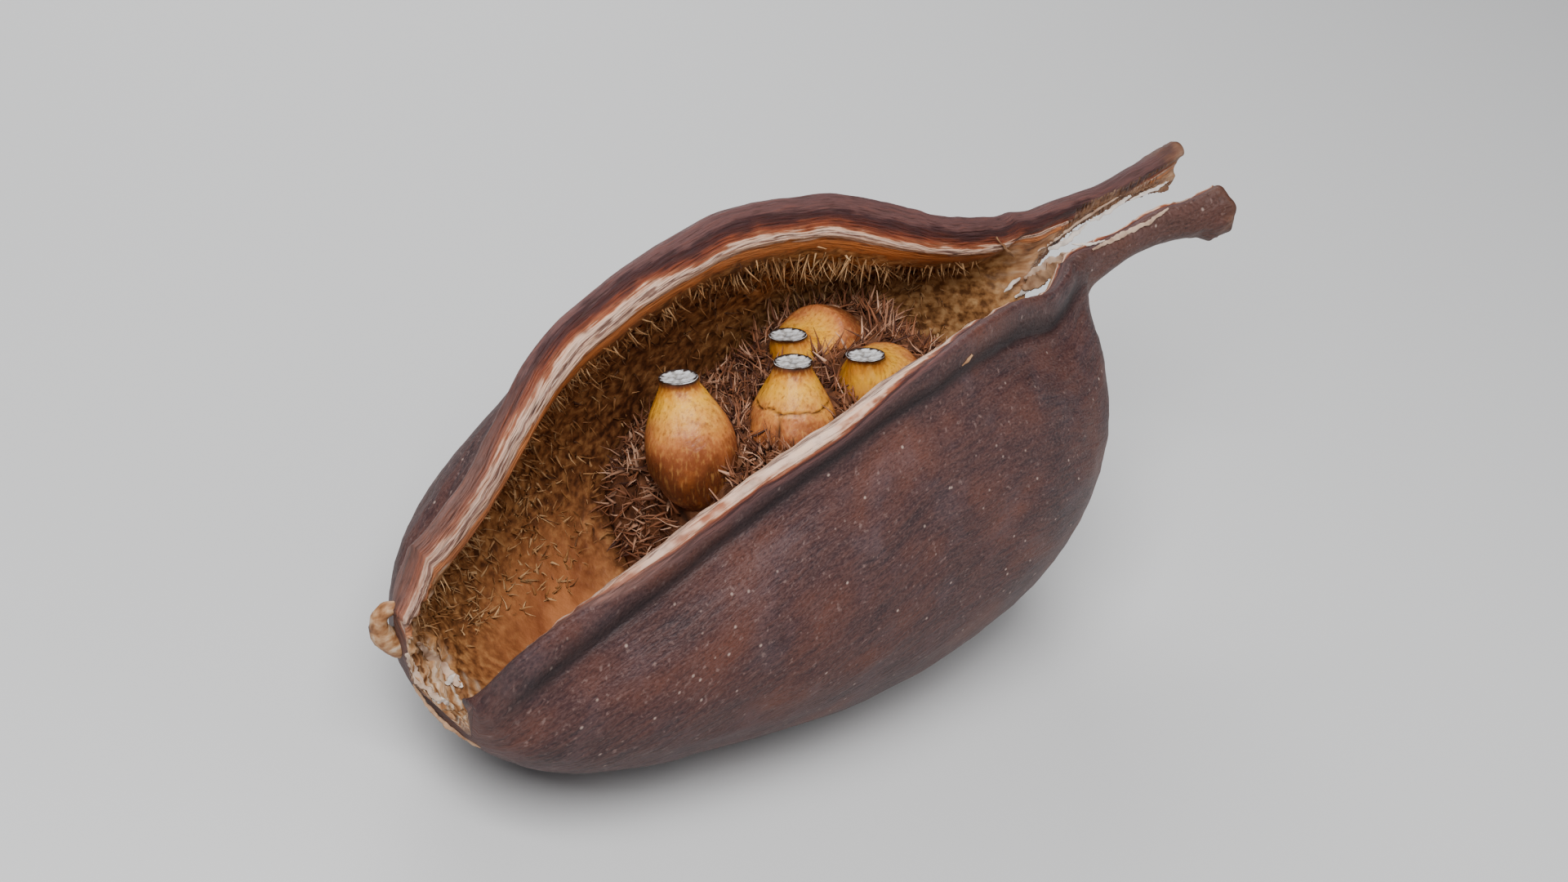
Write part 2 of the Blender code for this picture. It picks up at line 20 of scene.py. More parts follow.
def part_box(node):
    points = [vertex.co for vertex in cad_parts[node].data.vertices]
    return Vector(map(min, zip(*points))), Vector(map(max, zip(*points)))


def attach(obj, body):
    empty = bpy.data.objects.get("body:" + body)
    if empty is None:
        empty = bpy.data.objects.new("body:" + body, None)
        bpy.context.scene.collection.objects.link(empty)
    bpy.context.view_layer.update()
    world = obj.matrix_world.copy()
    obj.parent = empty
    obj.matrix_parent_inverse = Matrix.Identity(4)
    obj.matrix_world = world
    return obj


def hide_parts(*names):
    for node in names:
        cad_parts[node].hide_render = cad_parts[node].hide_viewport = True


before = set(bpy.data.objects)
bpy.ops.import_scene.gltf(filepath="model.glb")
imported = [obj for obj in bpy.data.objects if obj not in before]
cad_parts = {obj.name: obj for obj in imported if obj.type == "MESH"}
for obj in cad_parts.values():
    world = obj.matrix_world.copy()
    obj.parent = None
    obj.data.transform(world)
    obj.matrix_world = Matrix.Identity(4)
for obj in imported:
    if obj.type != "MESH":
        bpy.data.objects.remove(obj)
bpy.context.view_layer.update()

LOG = logging.getLogger("seed_pod")
MM = 0.001
SEAM_GAP = 1e-7  # how close the points are that a tube's seam joins: metres
SEED_SLICES = 24  # how many balls stand in for a seed where distances to it are measured
CUT_GAPS = (0.04, 0.12)  # from this far off every old point, a point is on the cut: millimetres
Array = np.ndarray
Mesh = bpy.types.Mesh
Piece = bpy.types.Object
Socket = bpy.types.NodeSocket
Value = Socket | float | Sequence[float]
Colour = tuple[float, float, float]
Look = tuple[Socket, Socket]  # a colour and a height


class Side(Enum):
    """The two valves of the pod, by the sign of their Y."""

    NEAR = -1
    FAR = 1


class Curve:
    """A smooth curve through knots that never overshoots them."""

    def __init__(self, knots: Sequence[Sequence[float]]) -> None:
        """Works out the tangents.

        Args:
            knots: (x, y) pairs in the order of x.
        """
        self.xs, self.ys = np.array(knots, float).T
        self.steps = np.diff(self.xs)
        slopes = np.diff(self.ys) / self.steps
        tangents = np.concatenate([[slopes[0]], (slopes[:-1] + slopes[1:]) / 2, [slopes[-1]]])
        for i, slope in enumerate(slopes):
            if slope == 0:
                tangents[i] = tangents[i + 1] = 0.0
                continue
            a, b = tangents[i] / slope, tangents[i + 1] / slope
            tangents[i] = 0.0 if a < 0 else tangents[i]
            tangents[i + 1] = 0.0 if b < 0 else tangents[i + 1]
            size = math.hypot(max(a, 0.0), max(b, 0.0))
            if size > 3:
                tangents[i], tangents[i + 1] = 3 * a / size * slope, 3 * b / size * slope
        self.tangents = tangents

    def __call__(self, x: Array | float) -> Array:
        """The curve's height at x, one number or an array."""
        x = np.clip(np.asarray(x, float), self.xs[0], self.xs[-1])
        i = np.minimum(np.searchsorted(self.xs, x, side="right") - 1, len(self.steps) - 1)
        t = (x - self.xs[i]) / self.steps[i]
        return (
            (1 + 2 * t) * (1 - t) ** 2 * self.ys[i]
            + t * (1 - t) ** 2 * self.steps[i] * self.tangents[i]
            + t * t * (3 - 2 * t) * self.ys[i + 1]
            + t * t * (t - 1) * self.steps[i] * self.tangents[i + 1]
        )


def ramp(x: Array | float, start: float, end: float) -> Array:
    """0 up to start and 1 past end, with a straight slope between them."""
    return np.clip((np.asarray(x, float) - start) / (end - start), 0.0, 1.0)


def bump(x: Array | float, middle: float, width: float) -> Array:
    """A smooth hump of height 1 at middle."""
    return np.exp(-(((np.asarray(x, float) - middle) / width) ** 2))


def rough(points: Array, size: float | Sequence[float], seed: float, octaves: int = 1) -> Array:
    """Smooth noise from about -1 to 1.

    Args:
        points: an array of points, the last axis x, y, z.
        size: the size of the noise's forms, or one for each axis.
        seed: a number that sets this noise apart from others.
        octaves: how many finer layers are added.

    Returns:
        One number for each point.
    """
    flat = points.reshape(-1, 3) / np.asarray(size, float)
    total = np.zeros(len(flat))
    for octave in range(octaves):
        places = (flat * 2**octave + seed * 3.7).tolist()
        total += np.array([noise.noise(place) for place in places]) / 2**octave
    return total.reshape(points.shape[:-1])


def unit(vectors: Array) -> Array:
    """The vectors at length 1."""
    return vectors / np.maximum(np.linalg.norm(vectors, axis=-1, keepdims=True), 1e-12)


def around(across: Array, other: Array, count: int) -> Array:
    """Directions all round each point of a line.

    Args:
        across: one direction square to the line at each point.
        other: the direction square to both.
        count: how many directions each point gets.

    Returns:
        The directions, shaped (points, count, 3).
    """
    angles = np.linspace(0, 2 * math.pi, count, endpoint=False)
    return across[:, None] * np.cos(angles)[:, None] + other[:, None] * np.sin(angles)[:, None]


def through(rows: Sequence[Sequence[float]], t: Array) -> Array:
    """Values at shares t of the way along smooth curves through evenly spaced rows of numbers."""
    stops = np.linspace(0, 1, len(rows))
    return np.stack([Curve(list(zip(stops, column)))(t) for column in zip(*rows)], -1)


@dataclass
class PodForm:
    """The main lines of the pod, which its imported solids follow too, in millimetres."""

    # x, half width, height of the widest point, height of the keel, half gap of the mouth, rim
    stations: tuple = (
        (-22.6, 3.4, -1.4, -3.9, 2.9, 0.9),
        (-21.6, 5.0, -1.6, -5.4, 3.2, 1.3),
        (-19.4, 7.5, -1.7, -7.4, 3.7, 2.1),
        (-15.5, 10.2, -1.8, -9.8, 4.6, 3.8),
        (-9.0, 12.0, -2.4, -12.7, 6.2, 6.3),
        (-2.0, 12.8, -3.3, -15.0, 7.0, 8.0),
        (4.0, 13.0, -4.0, -16.5, 6.9, 8.2),
        (10.0, 12.8, -4.6, -17.2, 6.0, 6.8),
        (15.0, 11.7, -4.7, -16.7, 4.5, 4.2),
        (19.5, 9.3, -4.4, -14.2, 3.0, 2.1),
        (22.0, 6.6, -3.4, -10.6, 2.3, 1.5),
        (24.0, 3.8, -1.5, -5.4, 2.2, 1.5),
        (26.2, 2.9, -0.3, -2.7, 2.1, 1.0),
        (31.0, 2.8, -0.1, -2.0, 2.1, 0.6),
        (34.6, 3.0, -0.2, -2.2, 2.2, 0.6),
        (37.6, 3.4, -0.6, -2.9, 2.2, 1.2),
    )
    body_sway: tuple = (
        (-22.6, 0), (-14, 0.6), (-1, 0), (18, 0), (22, 0.3), (25, 0.75), (30, 0.5), (33.5, 0.1),
        (37.6, -0.7),
    )
    mouth_sway: tuple = ((-22.6, 0), (-15.5, -1.1), (-5, 0), (12, 0), (18, -0.5), (24, 0))
    tip_x: float = -22.6
    stalk_x: float = 25.0
    end_x: float = 37.6
    thickness: float = 1.6
    prong_thickness: float = 1.2
    near_shortfall: float = 1.4
    shortfall_x: float = 30.0
    tip_thickness: float = 0.9
    end_reach: float = 3.0
    tip_rim_twist: float = 1.1
    tip_twist_reach: float = 6.0
    rim_turn: float = math.radians(63)
    widest_share: float = 0.55
    lip_reach: float = 3.4
    lip_flare: float = 1.5
    lip_thickening: float = 0.6
    rim_wave: float = 0.35
    dent_depth: float = 0.32
    dent_size: float = 7.0
    dent_stretch: float = 1.6
    pitch: float = math.radians(12)
    full_girth: float = 20.0
    bed_top_knots: tuple = (
        (-4.8, -11.4), (-4, -8.8), (-2.8, -6.6), (-0.6, -5.2), (4, -4.6), (9, -4.6),
        (13, -5), (16.5, -5.8), (19, -7.6), (20.3, -9.6),
    )
    bed_start: float = -4.8
    bed_end: float = 20.3
    bed_crown: float = 2.4
    clearance: float = 0.35
    # how far to each side the points lie that the wall's direction is taken from
    step_v: float = 0.02
    step_x: float = 0.2

    def __post_init__(self) -> None:
        """Turns the rows of numbers into curves."""
        columns = [Curve([(row[0], row[i]) for row in self.stations]) for i in range(1, 6)]
        self.half_width, self.widest_z, self.keel_z, self.rim_y, self.rim_z = columns
        self.middle_sway, self.rim_sway = Curve(self.body_sway), Curve(self.mouth_sway)
        self.bed_top = Curve(self.bed_top_knots)
        self.wave_x = np.linspace(self.tip_x, self.end_x, 600)
        self.waves = {
            side: np.array([noise.noise((x / 5, 3 * side.value, 1)) for x in self.wave_x.tolist()])
            for side in Side
        }

    def wall_thickness(self, x: Array) -> Array:
        """The wall thins from the boat to the prongs and to the torn tip."""
        boat = self.tip_thickness + (self.thickness - self.tip_thickness) * ramp(
            x, self.tip_x, self.tip_x + self.end_reach
        )
        return boat + (self.prong_thickness - boat) * ramp(x, self.stalk_x - 3, self.stalk_x + 2)

    def boat_share(self, x: Array) -> Array:
        """1 along the boat, falling to 0 on the prongs and the torn tip."""
        share = ramp(x, self.stalk_x + 0.4, self.stalk_x - 5.2)
        return share * share * (3 - 2 * share) * ramp(x, self.tip_x, self.tip_x + self.end_reach)

    def wall(self, side: Side, x: Array, v: Array) -> Array:
        """Points on the middle of the wall.

        Args:
            side: the valve.
            x: places along the pod.
            v: shares of the way from the keel, 0, to the rim, 1, in an array shaped as x.

        Returns:
            The points, with x, y, z as the last axis.
        """
        half = self.wall_thickness(x) / 2
        wide, middle, keel = self.half_width(x) - half, self.widest_z(x), self.keel_z(x) + half
        low_turn = math.pi / 2 * v / self.widest_share
        turn = self.rim_turn * (v - self.widest_share) / (1 - self.widest_share)
        curl = (1 - np.cos(turn)) / (1 - math.cos(self.rim_turn))
        twist = side.value * self.tip_rim_twist * ramp(x, self.tip_x + self.tip_twist_reach, self.tip_x) ** 2
        top = self.rim_z(x) + twist + self.rim_wave * np.interp(x, self.wave_x, self.waves[side])
        rise = (top - middle) * np.sin(turn) / math.sin(self.rim_turn)
        upper = v >= self.widest_share
        y_low = side.value * wide * np.sin(low_turn)
        y_high = side.value * (wide - (wide - self.rim_y(x)) * curl) + self.rim_sway(x) * curl
        z_low = middle - (middle - keel) * np.cos(low_turn)
        y = np.where(upper, y_high, y_low) + self.middle_sway(x)
        return np.stack([self.reach(side, x) + 0 * y, y, np.where(upper, middle + rise, z_low)], -1)

    def reach(self, side: Side, x: Array) -> Array:
        """Where a station lies along its valve: the near prong ends before the far one."""
        return x - self.near_shortfall * ramp(x, self.shortfall_x, self.end_x) * (side is Side.NEAR)

    def normal(self, side: Side, x: Array, v: Array) -> Array:
        """The wall's outward direction at the same places."""
        low, high = np.maximum(v - self.step_v, 0), np.minimum(v + self.step_v, 1)
        back, ahead = np.maximum(x - self.step_x, self.tip_x), np.minimum(x + self.step_x, self.end_x)
        along = self.wall(side, ahead, v) - self.wall(side, back, v)
        across = self.wall(side, x, high) - self.wall(side, x, low)
        normals = unit(np.cross(along, across) * -side.value)
        fade = ramp(x, self.tip_x, self.tip_x + self.end_reach)
        normals[..., 0] *= fade * ramp(x, self.end_x, self.end_x - self.end_reach)
        return unit(normals)

    def shares_from_rim(self, side: Side, x: Array, steps: Array, even: int) -> tuple[Array, Array]:
        """Where a section's points lie, from the rim to the keel.

        Args:
            side: the valve.
            x: the sections' places, one axis.
            steps: distances from the rim of the first points.
            even: how many more points share what is left.

        Returns:
            (v, distance from the rim), one row for each section.
        """
        shares = np.linspace(0, 1, 61)
        grid_x, grid_v = np.broadcast_arrays(x[:, None], shares[None])
        points = self.wall(side, grid_x, grid_v)
        lengths = np.cumsum(np.linalg.norm(np.diff(points, axis=1), axis=-1), 1)
        lengths = np.concatenate([np.zeros((len(x), 1)), lengths], 1)
        places, distances = [], []
        for row in lengths:
            near_rim = steps * min(1.0, row[-1] / self.full_girth)
            rest = row[-1] - near_rim[-1]
            away = np.concatenate([near_rim, near_rim[-1] + rest * np.arange(1, even + 1) / even])
            places.append(np.interp(row[-1] - away, row, shares))
            distances.append(away)
        return np.array(places), np.array(distances)

    def flare(self, x: Array, distance: Array) -> Array:
        """How far the whole wall is turned outwards near the rim."""
        return self.lip_flare * ramp(distance, self.lip_reach, 0) ** 2 * self.boat_share(x)

    def dents(self, points: Array) -> Array:
        """Shallow dents in the dry skin."""
        size = (self.dent_size * self.dent_stretch, self.dent_size, self.dent_size)
        return self.dent_depth * rough(points, size, 0)

    def inner(self, side: Side, x: Array, v: Array, distance: Array) -> Array:
        """Points of the hollow's wall."""
        swell = self.lip_thickening * ramp(distance, self.lip_reach + 1, 0.5) * self.boat_share(x)
        out = self.flare(x, distance) - self.wall_thickness(x) / 2 - swell
        return self.wall(side, x, v) + self.normal(side, x, v) * out[..., None]

    def hollow(self, side: Side, x: Array, v: Array, gap: float) -> Array:
        """Points inside the hollow, a gap away from its wall."""
        out = self.wall_thickness(x) / 2 + gap
        return self.wall(side, x, v) - self.normal(side, x, v) * out[..., None]

    def share_at_height(self, side: Side, x: float, z: float, gap: float) -> float:
        """The share v at which the hollow reaches a height."""
        shares = np.linspace(0, 0.9, 31)
        heights = self.hollow(side, np.full_like(shares, x), shares, gap)[:, 2]
        return float(np.interp(z, heights, shares))


FORM = PodForm()


@dataclass
class SeedShape:
    """One seed: its scar disc's centre, the way it points, how its neck bends, the disc's facing."""

    disc: tuple[float, float, float]
    direction: tuple[float, float, float]
    bend: float
    facing: tuple[float, float, float]
    tilt_span: tuple[float, float] = (0.5, 0.93)
    length: float = 8.2
    neck_share: float = 0.35
    # share of the length from the base, and radius there
    profile: tuple = (
        (0.0, 0.0), (0.015, 0.7), (0.06, 1.4), (0.15, 2.05), (0.3, 2.55), (0.42, 2.6),
        (0.55, 2.38), (0.68, 1.95), (0.8, 1.48), (0.88, 1.2), (0.93, 1.1), (0.965, 1.12), (1.0, 1.1),
    )

    def __post_init__(self) -> None:
        """Places the bend of the centre line."""
        disc, direction = np.array(self.disc), unit(np.array(self.direction))
        self.neck = unit(direction + np.array((0, 0, 1)) * self.bend)
        self.corner = disc - self.neck * self.length * self.neck_share
        self.base = self.corner - direction * self.length * (1 - self.neck_share)
        self.radius = Curve(self.profile)

    def centre(self, share: Array) -> Array:
        """Points of the centre line at shares of its length."""
        t = np.asarray(share, float)[..., None]
        return self.base * (1 - t) ** 2 + self.corner * 2 * t * (1 - t) + np.array(self.disc) * t**2

    def along(self, share: Array) -> Array:
        """The way that the rings face at shares of the length: at last as the disc does."""
        t = np.asarray(share, float)[..., None]
        line = unit((self.corner - self.base) * (1 - t) + (np.array(self.disc) - self.corner) * t)
        tilt = ramp(t, *self.tilt_span)
        return unit(line * (1 - tilt) + unit(np.array(self.facing)) * tilt)

    def frame_at(self, share: Array) -> tuple[Array, Array, Array]:
        """Two directions square to the centre line, and the line's own."""
        along = self.along(share)
        across = unit(np.cross(along, np.array((0.0, 1.0, 0.0))))
        return across, np.cross(along, across), along


SEEDS = {
    "seed_1": SeedShape((-1.1, 5.2, 3.7), (0.12, 0.34, 0.93), 0.0, (0.2, 0.3, 0.93)),
    "seed_2": SeedShape((5.3, 2.6, 2.6), (0.24, 0.26, 0.94), 0.0, (0.24, 0.26, 0.94)),
    "seed_3": SeedShape((8.3, 6.2, 0.4), (-0.90, -0.05, 0.35), 1.6, (0.24, 0.28, 0.92)),
    "seed_4": SeedShape((9.0, 0.5, 2.2), (-0.45, -0.08, 0.89), 0.2, (0.24, 0.28, 0.92)),
}


def seed_gap(points: Array) -> Array:
    """How far each point is from the nearest seed's skin; negative is inside a seed."""
    shares = (np.arange(SEED_SLICES) + 0.5) / SEED_SLICES
    gaps = []
    for seed in SEEDS.values():
        centres, radii = seed.centre(shares), seed.radius(shares)
        gaps.append((np.linalg.norm(points[..., None, :] - centres, axis=-1) - radii).min(-1))
    return np.min(gaps, 0)


@dataclass
class Resting:
    """The turn and the shift that lay the pod down on its belly."""

    turn: Array = field(init=False)
    shift: Array = field(init=False)

    def __post_init__(self) -> None:
        """Reads the shift off a packed seed, whose place in the pod's own frame is known."""
        c, s = math.cos(FORM.pitch), math.sin(FORM.pitch)
        self.turn = np.array(((c, 0, -s), (0, 1, 0), (s, 0, c)))
        seed, shares = SEEDS["seed_1"], np.linspace(0, 1, 60)
        spread = around(*seed.frame_at(shares)[:2], 48)
        skin = (seed.centre(shares)[:, None] + spread * seed.radius(shares)[:, None, None]).reshape(-1, 3)
        here, low_high = skin @ self.turn.T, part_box("seed_1")
        there = [np.array(corner) / MM for corner in low_high]
        self.shift = ((there[0] - here.min(0)) + (there[1] - here.max(0))) / 2

    def place(self, points: Array) -> Array:
        """Points of the pod's own frame in metres of the row's frame."""
        return (points @ self.turn.T + self.shift) * MM

    def heading(self, directions: Array) -> Array:
        """Directions of the pod's own frame in the row's frame."""
        return directions @ self.turn.T


REST = Resting()


class Workshop:
    """Turns bmesh shapes into finished pieces that ride on the pod."""

    @staticmethod
    def tube(name: str, points: Array, marks: dict[str, Array]) -> Mesh:
        """A grid bent to rings of points, with its seam merged and its ends filled.

        Args:
            name: the mesh's name.
            points: the rings in the pod's own frame, shaped (rings, points, 3).
            marks: numbers or vectors that go on the points, in the same rings.

        Returns:
            The mesh, its faces pointing outwards.
        """
        points = np.concatenate([points, points[:, :1]], 1)
        rows, columns = points.shape[:2]
        mesh, work = bpy.data.meshes.new(name), bmesh.new()
        bmesh.ops.create_grid(work, x_segments=columns - 1, y_segments=rows - 1, size=1)
        work.to_mesh(mesh)
        work.free()
        mesh.vertices.foreach_set("co", REST.place(points.reshape(-1, 3)).astype(np.float32).ravel())
        for key, values in marks.items():
            Workshop.mark(mesh, key, np.concatenate([values, values[:, :1]], 1))
        for step in (Workshop.merge_seam, Workshop.fill_ends):
            work = bmesh.new()
            work.from_mesh(mesh)
            step(work)
            work.to_mesh(mesh)
            work.free()
        return mesh

    @staticmethod
    def mark(mesh: Mesh, key: str, values: Array) -> None:
        """Writes one number or one vector on each point of a mesh."""
        vector = values.size == 3 * len(mesh.vertices)
        layer = mesh.attributes.new(key, "FLOAT_VECTOR" if vector else "FLOAT", "POINT")
        layer.data.foreach_set("vector" if vector else "value", values.astype(np.float32).ravel())

    @staticmethod
    def merge_seam(work: bmesh.types.BMesh) -> None:
        """Joins a tube where its rings close."""
        bmesh.ops.remove_doubles(work, verts=work.verts, dist=SEAM_GAP)

    @staticmethod
    def fill_ends(work: bmesh.types.BMesh) -> None:
        """Fills the open ends of a tube and points its faces outwards."""
        edges = [edge for edge in work.edges if edge.is_boundary]
        caps = bmesh.ops.holes_fill(work, edges=edges, sides=0)["faces"]
        bmesh.ops.triangulate(work, faces=caps, ngon_method="EAR_CLIP")
        bmesh.ops.recalc_face_normals(work, faces=work.faces)
        if work.calc_volume(signed=True) < 0:
            bmesh.ops.reverse_faces(work, faces=work.faces)

    @staticmethod
    def finish(mesh: Mesh, finish: "Finish", slot: str, nodes: Iterable[str] = ()) -> Piece:
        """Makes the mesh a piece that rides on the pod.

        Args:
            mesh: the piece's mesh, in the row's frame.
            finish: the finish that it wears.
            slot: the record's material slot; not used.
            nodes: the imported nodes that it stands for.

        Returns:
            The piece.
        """
        piece = bpy.data.objects.new(mesh.name, mesh)
        bpy.context.scene.collection.objects.link(piece)
        mesh.shade_smooth()
        mesh.materials.append(finish.material)
        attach(piece, "root")
        if nodes:
            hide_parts(*nodes)
        LOG.info("%s: %d faces", piece.name, len(mesh.polygons))
        return piece


class Finish:
    """A material made of nodes, with short calls for the ones that the pod's finishes use."""

    def __init__(self, name: str, roughness: float) -> None:
        """Starts the material.

        Args:
            name: what the finish is called.
            roughness: its roughness, the same all over.
        """
        self.material = bpy.data.materials.new(name)
        self.material.use_nodes = True
        self.tree = self.material.node_tree
        self.shader = self.tree.nodes["Principled BSDF"]
        self.shader.inputs["Roughness"].default_value = roughness
        self.shader.inputs["Specular IOR Level"].default_value = 0.3

    def node(self, kind: str, inputs: dict[str | int, Value], **settings: object) -> bpy.types.Node:
        """Adds a node.

        Args:
            kind: the node's type without its ShaderNode prefix.
            inputs: a socket or a constant for each input that is set.
            settings: the node's own settings.

        Returns:
            The node.
        """
        made = self.tree.nodes.new("ShaderNode" + kind)
        for key, value in settings.items():
            setattr(made, key, value)
        for key, value in inputs.items():
            if isinstance(value, Socket):
                self.tree.links.new(value, made.inputs[key])
            elif isinstance(value, tuple) and len(value) == 3 and made.inputs[key].type == "RGBA":
                made.inputs[key].default_value = (*value, 1.0)
            else:
                made.inputs[key].default_value = value
        return made

    def number(self, name: str) -> Socket:
        """A number that the mesh carries."""
        return self.node("Attribute", {}, attribute_name=name).outputs["Fac"]

    def vector(self, name: str) -> Socket:
        """A vector that the mesh carries."""
        return self.node("Attribute", {}, attribute_name=name).outputs["Vector"]

    def place(self) -> Socket:
        """The point of the piece, in metres."""
        return self.node("TexCoord", {}).outputs["Object"]

    def noise(self, scale: float, where: Socket, stretch: tuple = (1, 1, 1), detail: float = 4) -> Socket:
        """Noise from 0 to 1, its forms 1 / scale of the place's unit long and divided by stretch."""
        turned = self.node("Mapping", {"Vector": where, "Scale": stretch}).outputs[0]
        return self.node("TexNoise", {"Vector": turned, "Scale": scale, "Detail": detail}).outputs[0]

    def span(
        self, value: Socket, low: float, high: float, to_low: float = 0.0, to_high: float = 1.0
    ) -> Socket:
        """The value's place between low and high, from to_low to to_high."""
        inputs = {0: value, 1: low, 2: high, 3: to_low, 4: to_high}
        return self.node("MapRange", inputs).outputs[0]

    def maths(self, operation: str, a: Value, b: Value = 0.0) -> Socket:
        """One sum of two values."""
        return self.node("Math", {0: a, 1: b}, operation=operation).outputs[0]

    def ramp(self, value: Socket, stops: Sequence[tuple[float, Colour]]) -> Socket:
        """A colour that runs through stops, each a place from 0 to 1 and its colour."""
        made = self.node("ValToRGB", {0: value})
        band = made.color_ramp
        while len(band.elements) < len(stops):
            band.elements.new(1.0)
        for element, (place, colour) in zip(band.elements, stops):
            element.position, element.color = place, (*colour, 1.0)
        return made.outputs[0]

    def mix(self, share: Value, a: Value, b: Value, blend: str = "MIX") -> Socket:
        """Two colours mixed by a share."""
        made = self.node("Mix", {}, data_type="RGBA", blend_type=blend)
        for index, value in ((0, share), (6, a), (7, b)):
            if isinstance(value, Socket):
                self.tree.links.new(value, made.inputs[index])
            else:
                made.inputs[index].default_value = (*value, 1.0) if index else value
        return made.outputs[2]

    def tint(self, colour: Socket, *layers: tuple[Socket, float, float, float, Colour]) -> Socket:
        """Lays shades over a colour.

        Args:
            colour: what lies below.
            layers: for each shade a value, where on it the shade starts and where it is full, the
                share of it that shows there, and the shade itself.

        Returns:
            The colour with the shades.
        """
        for value, start, full, share, shade in layers:
            colour = self.mix(self.span(value, start, full, 0.0, share), colour, shade)
        return colour

    def wear(self, colour: Socket, height: Socket, depth_mm: float) -> None:
        """Sets the colour and a bump whose full height is a depth in millimetres."""
        self.tree.links.new(colour, self.shader.inputs["Base Color"])
        inputs = {"Height": height, "Strength": 1.0, "Distance": depth_mm * MM}
        normal = self.node("Bump", inputs).outputs[0]
        self.tree.links.new(normal, self.shader.inputs["Normal"])


